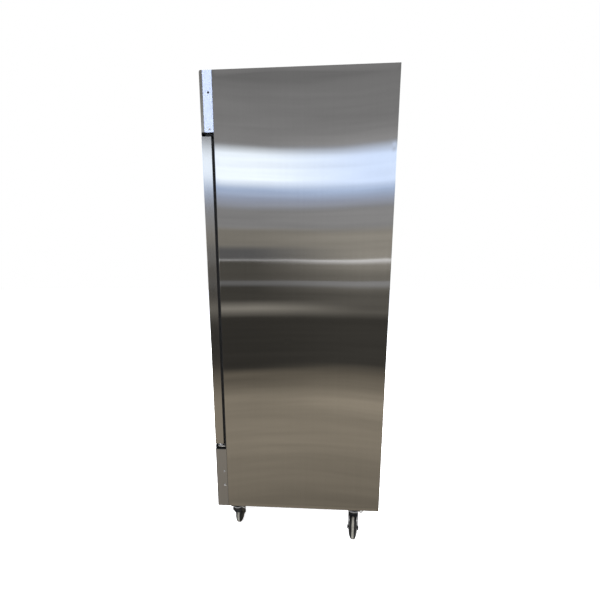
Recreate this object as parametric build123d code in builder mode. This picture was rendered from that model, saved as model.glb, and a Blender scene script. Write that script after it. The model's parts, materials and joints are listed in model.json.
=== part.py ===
from build123d import *
import math
import os

os.makedirs("parts", exist_ok=True)

# Upright reach-in refrigerator, one door, condensing unit at the bottom.
# Millimetres: X across the front, Y towards the back, Z up from the floor.

# ---- overall size ----
width = 700.0
depth = 780.0
height = 2035.0
wheel_r = 50.0
caster_room = 35.0
ground_clearance = 2 * wheel_r + caster_room
door_thickness = 40.0
seal_room = 12.0
front_depth = door_thickness + seal_room
wall = 60.0
sheet = 1.2
bend = 2.5
front_round = 3.5
cover_round = 8.0
liner_sheet = 1.0
front_return = 25.0
back_return = 15.0
fold = 25.0

# ---- front layout, top to bottom ----
facia_height = 222.0
facia_gap = 15.0
grille_height = 299.0
grille_gap = 28.0
door_overlap = 33.0
door_inset = 2.0
door_return = 10.0
cover_lip = 14.0
seam = 1.0
butt = 0.1

half_w = width / 2
half_in = half_w - sheet
half_sheet = half_w - bend
back_y = depth / 2
front_y = -depth / 2
frame_y = front_y + front_depth
skin_y = frame_y + sheet
back_sheet_y = back_y - 2 * sheet
base_z = ground_clearance
top_z = height
facia_z = top_z - facia_height
door_top = facia_z - facia_gap
grille_top = base_z + grille_height
door_bottom = grille_top + grille_gap
door_half = half_w - door_inset
door_back = front_y + door_thickness

# ---- insulated compartment ----
box_floor = grille_top + sheet
cavity_half = half_w - wall
cavity_front = frame_y + wall
cavity_back = back_y - wall
cavity_floor = box_floor + wall
cavity_top = top_z - wall
opening_top = door_top - door_overlap
inner_half = cavity_half - liner_sheet
inner_floor = cavity_floor + liner_sheet
inner_top = cavity_top - liner_sheet
inner_back = cavity_back - liner_sheet
inner_front = cavity_front + liner_sheet
opening_inner = opening_top - liner_sheet
machine_low = base_z + 30
machine_high = grille_top - 34

# ---- hinge line ----
pivot_x = half_w - 22
pivot_y = frame_y - 30
pin_top_r = 4.0
pin_bottom_r = 5.0
running_gap = 0.05
hinge_plate = 5.0
hinge_leg = 4.0
hinge_reach = 14.0
bush_r = 10.0
bush_len = 20.0
cartridge_r = 11.0
cartridge_len = 40.0


def block(x0, x1, y0, y1, z0, z1, mode=Mode.ADD):
    """A plain block between two planes on each axis."""
    with Locations(((x0 + x1) / 2, (y0 + y1) / 2, (z0 + z1) / 2)):
        Box(x1 - x0, y1 - y0, z1 - z0, mode=mode)


def rod_x(x0, x1, y, z, radius, mode=Mode.ADD):
    """A round bar lying along X."""
    with Locations(Location(((x0 + x1) / 2, y, z), (0, 90, 0))):
        Cylinder(radius, x1 - x0, mode=mode)


def rod_y(x, y0, y1, z, radius, mode=Mode.ADD):
    """A round bar lying along Y."""
    with Locations(Location((x, (y0 + y1) / 2, z), (90, 0, 0))):
        Cylinder(radius, y1 - y0, mode=mode)


def rod_z(x, y, z0, z1, radius, mode=Mode.ADD):
    """A round bar standing along Z."""
    with Locations((x, y, (z0 + z1) / 2)):
        Cylinder(radius, z1 - z0, mode=mode)


def tube_run(points, corner, radius):
    """A bent tube through the given corner points, added to the open part."""
    with BuildLine() as run:
        FilletPolyline(*points, radius=corner)
    with BuildSketch(Plane(origin=run.line @ 0, z_dir=run.line % 0)) as section:
        Circle(radius)
    sweep(section.sketch, path=run.line)


across = Plane(origin=(0, 0, 0), x_dir=(0, 1, 0), z_dir=(1, 0, 0))
facing = Plane(origin=(0, 0, 0), x_dir=(1, 0, 0), z_dir=(0, -1, 0))

# ---- fasteners that show on the outside ----
screw_head_r = 4.2
screw_head = 1.8
screw_r = 2.0
screw_len = 10.0
rear_set_in = 0.2
facia_screw_y = front_y + 36
facia_screw_z = (top_z - 79, facia_z + 11)
grille_screw_y = front_y + 39
grille_screw_z = (base_z + 184, base_z + 112)
rear_screw_x = (-half_w + 34, 0.0, half_w - 34)
rear_screw_z = (base_z + 14, grille_top - 14)

with BuildPart() as panel_screws:
    for side in (-1, 1):
        inner = side * (half_w - screw_len)
        outer = side * (half_w + screw_head)
        flush = side * half_w
        spots = [(facia_screw_y, z) for z in facia_screw_z]
        spots += [(grille_screw_y, z) for z in grille_screw_z]
        for y, z in spots:
            rod_x(min(inner, flush), max(inner, flush), y, z, screw_r)
            rod_x(min(flush, outer), max(flush, outer), y, z, screw_head_r)
    for x in rear_screw_x:
        for z in rear_screw_z:
            rod_y(x, back_y - sheet - screw_len, back_y - sheet, z, screw_r)
            rod_y(x, back_y - sheet, back_y - rear_set_in, z, screw_head_r)
panel_screws.part.label = "panel_screws"
export_step(panel_screws.part, "parts/panel_screws.step")

# ---- refrigerant lines, moulded into the back insulation ----
line_r = 4.0
line_bend = 14.0
line_y = back_y - wall / 2
liquid_r = 3.2
comp_x = half_w - 210
comp_y = back_y - 200
comp_r = 78.0
comp_z = base_z + 24
comp_h = 150.0
stub_z = comp_z + comp_h * 0.55
stub_len = 22.0
suction_x = comp_x + comp_r + 62
discharge_x = comp_x - comp_r - 60
cond_y = frame_y + 60
cond_d = 48.0
cond_half = cavity_half - 140
cond_low = base_z + 22
cond_high = machine_high - 20
evap_y = back_y - 240
evap_half = cavity_half - 100
evap_low = opening_top + 40
evap_high = inner_top - 22
evap_d = 90.0
manifold_x = cond_half + 46
manifold_reach = 26.0
manifold_y = cond_y + cond_d / 2
discharge_y = cond_y + cond_d + 120
suction_entry_z = evap_low + 40

with BuildPart() as refrigerant_pipes:
    tube_run(
        [
            (comp_x + comp_r + stub_len, comp_y, stub_z),
            (suction_x, comp_y, stub_z),
            (suction_x, line_y, stub_z),
            (suction_x, line_y, suction_entry_z),
            (suction_x, line_y - 90, suction_entry_z),
        ],
        line_bend, line_r,
    )
    tube_run(
        [
            (comp_x - comp_r - stub_len, comp_y, stub_z),
            (discharge_x, comp_y, stub_z),
            (discharge_x, discharge_y, stub_z),
            (manifold_x, discharge_y, stub_z),
            (manifold_x, manifold_y, stub_z),
            (cond_half + manifold_reach, manifold_y, stub_z),
        ],
        line_bend / 2, liquid_r,
    )
refrigerant_pipes.part.label = "refrigerant_pipes"
export_step(refrigerant_pipes.part, "parts/refrigerant_pipes.step")

# ---- folded outer panels ----
with BuildPart() as side_panel_right:
    with BuildSketch(Plane.XY.offset(base_z)):
        with BuildLine():
            FilletPolyline(
                (half_w - front_return, frame_y),
                (half_w, frame_y),
                (half_w, back_y),
                (half_w - back_return, back_y),
                radius=bend,
            )
            offset(amount=sheet, side=Side.LEFT)
        make_face()
    extrude(amount=top_z - base_z)
side_panel_right.part.label = "side_panel_right"
export_step(side_panel_right.part, "parts/side_panel_right.step")

with BuildPart() as side_panel_left:
    mirror(side_panel_right.part, about=Plane.YZ)
side_panel_left.part.label = "side_panel_left"
export_step(side_panel_left.part, "parts/side_panel_left.step")

bead_w = 60.0
bead_h = 0.8
with BuildPart() as top_panel:
    with BuildSketch(across):
        with BuildLine():
            FilletPolyline(
                (frame_y + bend, top_z - fold),
                (frame_y + bend, top_z),
                (back_y - bend, top_z),
                (back_y - bend, top_z - fold),
                radius=bend,
            )
            offset(amount=sheet, side=Side.RIGHT)
        make_face()
    extrude(amount=half_in, both=True)
    for side in (-1, 1):
        x = side * half_w / 2
        block(x - bead_w / 2, x + bead_w / 2, frame_y + fold * 2, back_y - fold * 2,
              top_z - bead_h, top_z, Mode.SUBTRACT)
        block(x - bead_w / 2, x + bead_w / 2, frame_y + fold * 2, back_y - fold * 2,
              top_z - sheet - bead_h, top_z - sheet)
top_panel.part.label = "top_panel"
export_step(top_panel.part, "parts/top_panel.step")

with BuildPart() as back_panel:
    block(-half_sheet, half_sheet, skin_y, back_y - sheet, grille_top, box_floor)
    block(-half_sheet, half_sheet, back_sheet_y, back_y - sheet, box_floor + butt, top_z)
    add(refrigerant_pipes.part, mode=Mode.SUBTRACT)
back_panel.part.label = "back_panel"
export_step(back_panel.part, "parts/back_panel.step")

# ---- front frame: two stiles and three rails, butted round the two openings ----
with BuildPart() as front_frame:
    frame_half = half_w - front_return
    block(-frame_half, -inner_half, frame_y, skin_y, base_z, top_z)
    block(inner_half, frame_half, frame_y, skin_y, base_z, top_z)
    for low, high in ((base_z, machine_low), (machine_high, inner_floor), (opening_inner, top_z)):
        block(-inner_half + butt, inner_half - butt, frame_y, skin_y, low, high)
front_frame.part.label = "front_frame"
export_step(front_frame.part, "parts/front_frame.step")

# ---- inner liner and insulation ----
with BuildPart() as inner_liner:
    block(-cavity_half, cavity_half, cavity_front, cavity_back, cavity_floor, cavity_top)
    block(-cavity_half, cavity_half, skin_y, cavity_front, cavity_floor, opening_top)
    block(-inner_half, inner_half, inner_front, inner_back, inner_floor, inner_top, Mode.SUBTRACT)
    block(-inner_half, inner_half, skin_y, inner_front, inner_floor, opening_inner, Mode.SUBTRACT)
    add(refrigerant_pipes.part, mode=Mode.SUBTRACT)
inner_liner.part.label = "inner_liner"
export_step(inner_liner.part, "parts/inner_liner.step")

with BuildPart() as cabinet_foam:
    block(-half_in, half_in, skin_y, back_sheet_y, box_floor, top_z - sheet)
    block(-cavity_half, cavity_half, cavity_front, cavity_back, cavity_floor, cavity_top, Mode.SUBTRACT)
    block(-cavity_half, cavity_half, skin_y, cavity_front, cavity_floor, opening_top, Mode.SUBTRACT)
    for shell in (side_panel_right, side_panel_left, top_panel, back_panel, refrigerant_pipes):
        add(shell.part, mode=Mode.SUBTRACT)
cabinet_foam.part.label = "cabinet_foam"
export_step(cabinet_foam.part, "parts/cabinet_foam.step")

# ---- casters: places, plates, bolts and base pan ----
caster_x = half_w - 32
caster_front_y = front_y + 94
caster_rear_y = back_y - 115
caster_plate = 62.0
caster_plate_t = 4.0
caster_bolt_pitch = 44.0
caster_bolt_r = 3.5
caster_bolt_head_r = 6.2
caster_bolt_head = 5.0
base_sheet = 2.0
base_flange = 30.0
tread = 32.0
trail = 38.0
kingpin_r = 6.0
kingpin_head_r = 10.0
race_r = 24.0
eye_r = 9.5
eye_hole_r = 6.5
eye_x = 20.0
eye_y = 33.0
eye_t = 4.0
fork_disc_r = 26.0
fork_top = base_z - 15
race_low = fork_top + 2
race_high = fork_top + 6
race_wall = 3.0
fork_plate = 4.0
kingpin_head = 4.0
kingpin_low = fork_top - fork_plate - 1 - kingpin_head
fork_leg = 3.0
fork_gap_half = tread / 2 + 4
axle_r = 5.0
caster_spots = [
    (side * caster_x, y) for side in (-1, 1) for y in (caster_front_y, caster_rear_y)
]
bolt_spots = [
    (x + i * caster_bolt_pitch / 2, y + j * caster_bolt_pitch / 2)
    for x, y in caster_spots for i in (-1, 1) for j in (-1, 1)
]
plate_low = base_z - caster_plate_t

with BuildPart() as caster_bolts:
    with BuildSketch(Plane.XY.offset(plate_low - caster_bolt_head)):
        with Locations(*bolt_spots):
            RegularPolygon(caster_bolt_head_r, 6)
    extrude(amount=caster_bolt_head)
    with BuildSketch(Plane.XY.offset(plate_low)):
        with Locations(*bolt_spots):
            Circle(caster_bolt_r)
    extrude(amount=caster_plate_t + base_sheet + 10)
    with BuildSketch(Plane.XY.offset(base_z + base_sheet)):
        with Locations(*bolt_spots):
            RegularPolygon(caster_bolt_head_r, 6)
    extrude(amount=6)
caster_bolts.part.label = "caster_bolts"
export_step(caster_bolts.part, "parts/caster_bolts.step")

with BuildPart() as caster_plates:
    with BuildSketch(Plane.XY.offset(plate_low)):
        with Locations(*caster_spots):
            RectangleRounded(caster_plate, caster_plate, 8)
    extrude(amount=caster_plate_t)
    for x, y in caster_spots:
        rod_z(x, y, race_low, plate_low, race_r)
        rod_z(x, y, race_low, race_high, race_r - race_wall, Mode.SUBTRACT)
        rod_z(x, y, kingpin_low, race_high, kingpin_r)
        rod_z(x, y, kingpin_low, kingpin_low + kingpin_head, kingpin_head_r)
        eye = x + math.copysign(eye_x, x)
        rod_x(eye - eye_t / 2, eye + eye_t / 2, y + eye_y, base_z - eye_r, eye_r)
        rod_x(eye - eye_t / 2, eye + eye_t / 2, y + eye_y, base_z - eye_r, eye_hole_r, Mode.SUBTRACT)
    add(caster_bolts.part, mode=Mode.SUBTRACT)
caster_plates.part.label = "caster_plates"
export_step(caster_plates.part, "parts/caster_plates.step")

with BuildPart() as base_frame:
    with BuildSketch(Plane.XZ.offset(-(frame_y + bend))):
        with BuildLine():
            Polyline(
                (-half_in, base_z + base_flange),
                (-half_in, base_z),
                (half_in, base_z),
                (half_in, base_z + base_flange),
            )
            offset(amount=base_sheet, side=Side.LEFT)
        make_face()
    extrude(amount=-(back_y - frame_y - 2 * bend))
    add(caster_bolts.part, mode=Mode.SUBTRACT)
base_frame.part.label = "base_frame"
export_step(base_frame.part, "parts/base_frame.step")



def cover_form(inset, y1, z0, z1, side_round, end_round, end):
    """The solid form of a front cover, drawn in by the inset on its closed sides."""
    x = half_w - inset
    planes = (-x, x, front_y + inset, y1, z0 + inset, z1 - inset)
    with BuildPart() as sides:
        block(*planes)
        fillet(sides.edges().filter_by(Axis.Z).group_by(Axis.Y)[0], radius=side_round - inset)
    with BuildPart() as ends:
        block(*planes)
        front_edges = ends.edges().filter_by(Axis.X).group_by(Axis.Y)[0].sort_by(Axis.Z)
        fillet(front_edges[-1 if end > 0 else 0], radius=end_round - inset)
    return sides.part & ends.part


def pressed_cover(y1, z0, z1, side_round, end_round, end):
    """An open-backed sheet cover, rounded at its sides and at its top (1) or bottom (-1)."""
    add(cover_form(0, y1, z0, z1, side_round, end_round, end))
    add(cover_form(sheet, y1, z0, z1, side_round, end_round, end), mode=Mode.SUBTRACT)


# ---- machine compartment closing panels ----
slot_h = 9.0
slot_pitch = 19.0
slot_w = half_w - 100
slot_rows = 9
slot_x = half_w / 2 - 25
slot_mid = base_z + 178
gland_x = half_w - 90
gland_z = base_z + 60
gland_r = 11.0
gland_bore = 4.5
gland_len = 18.0
gland_back = back_y - 0.4
gland_flange = 3.0

with BuildPart() as cord_gland:
    rod_y(gland_x, back_y - gland_len, gland_back, gland_z, gland_r)
    rod_y(gland_x, gland_back - 1 - sheet, gland_back, gland_z, gland_r + gland_flange)
    rod_y(gland_x, back_y - gland_len, gland_back, gland_z, gland_bore, Mode.SUBTRACT)
cord_gland.part.label = "cord_gland"
export_step(cord_gland.part, "parts/cord_gland.step")

with BuildPart() as rear_grille:
    block(-half_sheet, half_sheet, back_sheet_y, back_y - sheet, base_z, grille_top)
    with BuildSketch(facing.offset(-(back_y - sheet))):
        for side in (-1, 1):
            with Locations((side * slot_x, slot_mid)):
                with GridLocations(slot_w, slot_pitch, 1, slot_rows):
                    SlotOverall(slot_w, slot_h)
    extrude(amount=sheet, mode=Mode.SUBTRACT)
    add(cord_gland.part, mode=Mode.SUBTRACT)
    rod_y(gland_x, back_sheet_y, back_y - sheet, gland_z, gland_bore, Mode.SUBTRACT)
    add(panel_screws.part, mode=Mode.SUBTRACT)
rear_grille.part.label = "rear_grille"
export_step(rear_grille.part, "parts/rear_grille.step")

louvre_rows = 9
louvre_pitch = 24.0
louvre_open = 11.0
louvre_w = half_w - 80
louvre_x = half_w / 2 - 15
louvre_low = base_z + 52
blade_deep = 15.0
blade_drop = 6.6
hinge_half = 24.0
leg_drop = 46.0

with BuildPart() as lower_grille:
    pressed_cover(frame_y, base_z, grille_top, front_round, cover_round, -1)
    for row in range(louvre_rows):
        z = louvre_low + row * louvre_pitch
        for side in (-1, 1):
            x = side * louvre_x
            block(x - louvre_w / 2, x + louvre_w / 2, front_y, front_y + sheet,
                  z - louvre_open / 2, z + louvre_open / 2, Mode.SUBTRACT)
            with BuildSketch(across.offset(x - louvre_w / 2)):
                with BuildLine():
                    Polyline(
                        (front_y, z + louvre_open / 2),
                        (front_y + sheet, z + louvre_open / 2),
                        (front_y + sheet + blade_deep, z - blade_drop),
                        (front_y + blade_deep, z - blade_drop),
                        close=True,
                    )
                make_face()
            extrude(amount=louvre_w)
    block(pivot_x - hinge_half - 1, pivot_x + hinge_reach + 1, frame_y - hinge_leg - 1, frame_y,
          grille_top - sheet, grille_top, Mode.SUBTRACT)
    add(panel_screws.part, mode=Mode.SUBTRACT)
lower_grille.part.label = "lower_grille"
export_step(lower_grille.part, "parts/lower_grille.step")

# ---- facia: controls behind a front cover on a housing ----
ctl_half = 62.0
ctl_h = 54.0
ctl_x = 0.0
ctl_z = facia_z + facia_height * 0.5
ctl_low = ctl_z - ctl_h / 2
ctl_high = ctl_z + ctl_h / 2
ctl_deep = 30.0
switch_x = 130.0
switch_half_w = 8.0
switch_half_h = 12.0
switch_frame = 5.0
switch_deep = 22.0
switch_x0 = switch_x - switch_half_w - switch_frame
switch_x1 = switch_x + switch_half_w + switch_frame
switch_z0 = ctl_z - switch_half_h - switch_frame
switch_z1 = ctl_z + switch_half_h + switch_frame
lock_x = -door_half + 95
lock_drop = 24.0
lock_z = door_top - lock_drop
lock_r = 9.0
cam_y = door_back - 20
cam_t = 3.0
cam_half = 6.0
cam_clear = 6.0
cam_len = lock_drop + facia_gap + 8
lip_front = front_y + cover_round

with BuildPart() as facia_cover:
    cover_back = front_y + cover_lip
    pressed_cover(cover_back, facia_z, top_z, cover_round, cover_round, 1)
    block(ctl_x - ctl_half, ctl_x + ctl_half, front_y, front_y + sheet, ctl_low, ctl_high, Mode.SUBTRACT)
    block(switch_x0, switch_x1, front_y, front_y + sheet, switch_z0, switch_z1, Mode.SUBTRACT)
facia_cover.part.label = "facia_cover"
export_step(facia_cover.part, "parts/facia_cover.step")

with BuildPart() as facia_housing:
    ring_front = front_y + cover_lip + seam
    block(-half_w, half_w, ring_front, frame_y, facia_z, top_z)
    block(-half_in, half_in, lip_front, frame_y - sheet, facia_z + sheet, top_z - sheet)
    block(-half_in + sheet, half_in - sheet, lip_front, frame_y,
          facia_z + 2 * sheet, top_z - 2 * sheet, Mode.SUBTRACT)
    block(-half_in, half_in, ring_front + fold * 0.6, frame_y,
          facia_z + sheet, top_z - sheet, Mode.SUBTRACT)
    block(pivot_x - hinge_half - 1, pivot_x + hinge_reach + 1, frame_y - hinge_leg - 1, frame_y,
          facia_z, facia_z + sheet, Mode.SUBTRACT)
    block(lock_x - cam_half - cam_clear, lock_x + cam_len, front_y, frame_y,
          facia_z, facia_z + 2 * sheet, Mode.SUBTRACT)
    add(panel_screws.part, mode=Mode.SUBTRACT)
facia_housing.part.label = "facia_housing"
export_step(facia_housing.part, "parts/facia_housing.step")

# ---- controller with three keys, and the mains rocker ----
bezel = 2.5
display_inset = 8.0
display_step = 10.0
lens_deep = 1.0
facing_t = 2.0
key_w = 11.0
key_gap = 0.4
key_pitch = 17.0
key_x0 = ctl_x + 14
key_front = front_y + 0.4
key_flange = 1.0
key_travel = 1.2
key_names = ("button_set", "button_up", "button_down")
key_back = front_y + 12
key_face = front_y + lens_deep + facing_t
key_seat = key_face + 0.4
key_spread = 1.8
rocker_y = front_y + 11
rocker_pin_r = 2.0
rocker_gap = 0.5

with BuildPart() as controller:
    block(ctl_x - ctl_half, ctl_x + ctl_half, front_y, front_y + ctl_deep, ctl_low, ctl_high)
    for y0, y1 in ((front_y, front_y + lens_deep), (key_face, key_back + 4)):
        block(ctl_x - ctl_half + bezel, ctl_x + ctl_half - bezel, y0, y1,
              ctl_low + bezel, ctl_high - bezel, Mode.SUBTRACT)
    for place in range(len(key_names)):
        x = key_x0 + place * key_pitch
        hole = key_w / 2 + key_gap
        block(x - hole, x + hole, front_y + lens_deep, key_face, ctl_z - hole, ctl_z + hole, Mode.SUBTRACT)
    block(ctl_x - ctl_half + display_inset, ctl_x, front_y + lens_deep, front_y + 2 * lens_deep,
          ctl_low + display_step, ctl_high - display_step, Mode.SUBTRACT)
    block(switch_x0, switch_x1, front_y, front_y + switch_deep, switch_z0, switch_z1)
    block(switch_x - switch_half_w - rocker_gap, switch_x + switch_half_w + rocker_gap,
          front_y, front_y + switch_deep - 2,
          ctl_z - switch_half_h - rocker_gap, ctl_z + switch_half_h + rocker_gap, Mode.SUBTRACT)
    rod_x(switch_x0, switch_x1, rocker_y, ctl_z, rocker_pin_r + running_gap, Mode.SUBTRACT)
controller.part.label = "controller"
export_step(controller.part, "parts/controller.step")

for place, key_name in enumerate(key_names):
    with BuildPart() as key:
        x = key_x0 + place * key_pitch
        block(x - key_w / 2, x + key_w / 2, key_front, key_seat, ctl_z - key_w / 2, ctl_z + key_w / 2)
        fillet(key.edges().filter_by(Axis.Y), radius=1.5)
        spread = key_w / 2 + key_spread
        block(x - spread, x + spread, key_seat, key_seat + key_flange, ctl_z - spread, ctl_z + spread)
        rod_y(x, key_seat, key_back, ctl_z, 3)
    key.part.label = key_name
    export_step(key.part, "parts/" + key_name + ".step")

with BuildPart() as power_switch:
    with BuildSketch(across.offset(switch_x - switch_half_w)):
        with BuildLine():
            Polyline(
                (rocker_y - 10.5, ctl_z + switch_half_h - 2.6),
                (rocker_y - 8.0, ctl_z),
                (rocker_y - 8.6, ctl_z - switch_half_h + 2.6),
                (rocker_y + 4.0, ctl_z - 6),
                (rocker_y + 4.0, ctl_z + 6),
                close=True,
            )
        make_face()
    extrude(amount=2 * switch_half_w)
    rod_x(switch_x0, switch_x1, rocker_y, ctl_z, rocker_pin_r)
power_switch.part.label = "power_switch"
export_step(power_switch.part, "parts/power_switch.step")

# ---- door hinge brackets ----
bracket_round = 12.0

with BuildPart() as top_hinge_bracket:
    plate_z = door_top + 5.5
    with BuildSketch(Plane.XY.offset(plate_z)):
        with BuildLine():
            Polyline(
                (pivot_x - hinge_half, frame_y),
                (pivot_x - hinge_half, pivot_y),
                (pivot_x, pivot_y - hinge_reach),
                (pivot_x + hinge_reach, pivot_y - hinge_reach / 2),
                (pivot_x + hinge_reach, frame_y),
                close=True,
            )
        make_face()
    extrude(amount=hinge_plate)
    block(pivot_x - hinge_half, pivot_x + hinge_reach, frame_y - hinge_leg, frame_y,
          plate_z, facia_z + leg_drop)
    rod_z(pivot_x, pivot_y, door_top - bush_len + 2, plate_z, pin_top_r)
top_hinge_bracket.part.label = "top_hinge_bracket"
export_step(top_hinge_bracket.part, "parts/top_hinge_bracket.step")

lower_plate_z = grille_top + 9
with BuildPart() as bottom_hinge_bracket:
    block(pivot_x - hinge_half, pivot_x + hinge_reach, pivot_y - hinge_reach, frame_y,
          lower_plate_z, lower_plate_z + hinge_plate)
    fillet(bottom_hinge_bracket.edges().filter_by(Axis.Z).group_by(Axis.Y)[0], radius=bracket_round)
    block(pivot_x - hinge_half, pivot_x + hinge_reach, frame_y - hinge_leg, frame_y,
          grille_top - leg_drop, lower_plate_z + hinge_plate)
    rod_z(pivot_x, pivot_y, lower_plate_z + hinge_plate, door_bottom + cartridge_len - 6, pin_bottom_r)
bottom_hinge_bracket.part.label = "bottom_hinge_bracket"
export_step(bottom_hinge_bracket.part, "parts/bottom_hinge_bracket.step")

# ---- door hardware that is let into the door ----
with BuildPart() as top_hinge_bush:
    rod_z(pivot_x, pivot_y, door_top - bush_len, door_top, bush_r)
    rod_z(pivot_x, pivot_y, door_top, door_top + 2, bush_r - 2)
    rod_z(pivot_x, pivot_y, door_top - bush_len, door_top + 2, pin_top_r + running_gap, Mode.SUBTRACT)
top_hinge_bush.part.label = "top_hinge_bush"
export_step(top_hinge_bush.part, "parts/top_hinge_bush.step")

with BuildPart() as hinge_cartridge:
    collar_low = lower_plate_z + hinge_plate + 1
    rod_z(pivot_x, pivot_y, door_bottom, door_bottom + cartridge_len, cartridge_r)
    rod_z(pivot_x, pivot_y, collar_low, door_bottom, cartridge_r - 2)
    rod_z(pivot_x, pivot_y, collar_low, door_bottom + cartridge_len - 4,
          pin_bottom_r + running_gap, Mode.SUBTRACT)
hinge_cartridge.part.label = "hinge_cartridge"
export_step(hinge_cartridge.part, "parts/hinge_cartridge.step")

handle_x0 = -door_half + 14
handle_x1 = handle_x0 + 62
handle_len = 170.0
handle_drop = 5.0
handle_z0 = (door_bottom + door_top - handle_len) / 2 - handle_drop
handle_z1 = handle_z0 + handle_len
handle_deep = 27.0
handle_sheet = 1.5
handle_rim = 8.0
handle_lip = 8.0

with BuildPart() as door_handle:
    block(handle_x0, handle_x1, front_y, front_y + sheet, handle_z0, handle_z1)
    block(handle_x0 + handle_rim / 2, handle_x1 - handle_rim / 2, front_y + sheet, front_y + handle_deep,
          handle_z0 + handle_rim / 2, handle_z1 - handle_rim / 2)
    block(handle_x0 + handle_rim, handle_x1 - handle_rim, front_y, front_y + handle_deep - handle_sheet,
          handle_z0 + handle_rim, handle_z1 - handle_rim, Mode.SUBTRACT)
    block(handle_x0 + handle_rim / 2 + handle_sheet, handle_x0 + handle_rim,
          front_y + handle_lip, front_y + handle_deep - handle_sheet,
          handle_z0 + handle_rim, handle_z1 - handle_rim, Mode.SUBTRACT)
door_handle.part.label = "door_handle"
export_step(door_handle.part, "parts/door_handle.step")

lock_back = cam_y + cam_t + 3
with BuildPart() as lock_cylinder:
    rod_y(lock_x, front_y + 0.6, lock_back, lock_z, lock_r)
    block(lock_x - cam_half, lock_x + cam_len, cam_y, cam_y + cam_t, lock_z - cam_half, lock_z + cam_half)
    block(lock_x - 0.8, lock_x + 0.8, front_y, front_y + 8, lock_z - 4, lock_z + 4, Mode.SUBTRACT)
lock_cylinder.part.label = "lock_cylinder"
export_step(lock_cylinder.part, "parts/lock_cylinder.step")

# ---- door leaf ----
lock_clear = 0.05
pocket_x0 = lock_x - cam_len - 2
pocket_x1 = lock_x + cam_len + 4
pocket_z0 = lock_z - lock_r - 4
pocket_y0 = cam_y - 2
pocket_y1 = lock_back + 2
slot_x0 = lock_x - cam_half - 4
slot_x1 = lock_x + cam_len


def door_cutouts():
    """Room for the lock and the hinge fittings in the open part."""
    rod_y(lock_x, front_y, pocket_y1, lock_z, lock_r + lock_clear, Mode.SUBTRACT)
    block(slot_x0, slot_x1, pocket_y0, pocket_y1, lock_z, door_top, Mode.SUBTRACT)
    rod_z(pivot_x, pivot_y, door_top - bush_len, door_top, bush_r, Mode.SUBTRACT)
    rod_z(pivot_x, pivot_y, door_bottom, door_bottom + cartridge_len, cartridge_r, Mode.SUBTRACT)


leaf_low = door_bottom + sheet
leaf_high = door_top - sheet
leaf_half = door_half - sheet
leaf_y0 = front_y + sheet
leaf_y1 = door_back - sheet
panel_half = door_half - door_return
panel_low = door_bottom + door_return
panel_high = door_top - door_return

with BuildPart() as door_skin:
    block(-door_half, door_half, front_y, door_back, door_bottom, door_top)
    fillet(door_skin.edges().filter_by(Axis.Z).group_by(Axis.Y)[0], radius=front_round)
    block(-leaf_half, leaf_half, leaf_y0, leaf_y1, leaf_low, leaf_high, Mode.SUBTRACT)
    block(-panel_half, panel_half, leaf_y1, door_back, panel_low, panel_high, Mode.SUBTRACT)
    block(handle_x0, handle_x1, front_y, leaf_y0, handle_z0, handle_z1, Mode.SUBTRACT)
    door_cutouts()
door_skin.part.label = "door_skin"
export_step(door_skin.part, "parts/door_skin.step")

dyke_half = inner_half - 11
dyke_low = inner_floor + 12
dyke_high = opening_inner - 12
dyke_w = 28.0
dyke_y = frame_y + 12
dyke_wall = 3.0
dyke_runs = (
    (dyke_low, dyke_high, -dyke_half, -dyke_half + dyke_w),
    (dyke_low, dyke_high, dyke_half - dyke_w, dyke_half),
    (dyke_low, dyke_low + dyke_w, -dyke_half, dyke_half),
    (dyke_high - dyke_w, dyke_high, -dyke_half, dyke_half),
)


def dyke_core(mode):
    """The inside of the hollow ridge round the liner."""
    for low, high, left, right in dyke_runs:
        block(left + dyke_wall, right - dyke_wall, leaf_y1, dyke_y - dyke_wall,
              low + dyke_wall, high - dyke_wall, mode)


with BuildPart() as door_liner:
    block(-panel_half, panel_half, leaf_y1, door_back, panel_low, panel_high)
    block(-dyke_half, dyke_half, door_back, dyke_y, dyke_low, dyke_high)
    fillet(door_liner.edges().filter_by(Axis.Z).group_by(Axis.Y)[-1], radius=4)
    block(-dyke_half + dyke_w, dyke_half - dyke_w, door_back, dyke_y,
          dyke_low + dyke_w, dyke_high - dyke_w, Mode.SUBTRACT)
    dyke_core(Mode.SUBTRACT)
door_liner.part.label = "door_liner"
export_step(door_liner.part, "parts/door_liner.step")

with BuildPart() as door_foam:
    block(-leaf_half, leaf_half, leaf_y0, leaf_y1, leaf_low, leaf_high)
    dyke_core(Mode.ADD)
    block(handle_x0 + handle_rim / 2, handle_x1 - handle_rim / 2, leaf_y0, front_y + handle_deep,
          handle_z0 + handle_rim / 2, handle_z1 - handle_rim / 2, Mode.SUBTRACT)
    door_cutouts()
    block(slot_x0, pocket_x1, pocket_y0, pocket_y1, pocket_z0, leaf_high, Mode.SUBTRACT)
door_foam.part.label = "door_foam"
export_step(door_foam.part, "parts/door_foam.step")

# ---- door gasket: four mitred strips of one profile ----
seal_w = 20.0
seal_gap = 0.5
seal_half = panel_half - 12
seal_low = panel_low + 1
seal_high = panel_high - 1
seal_neck = 3.0
seal_base = 4.0
seal_front = frame_y - seal_gap


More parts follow.
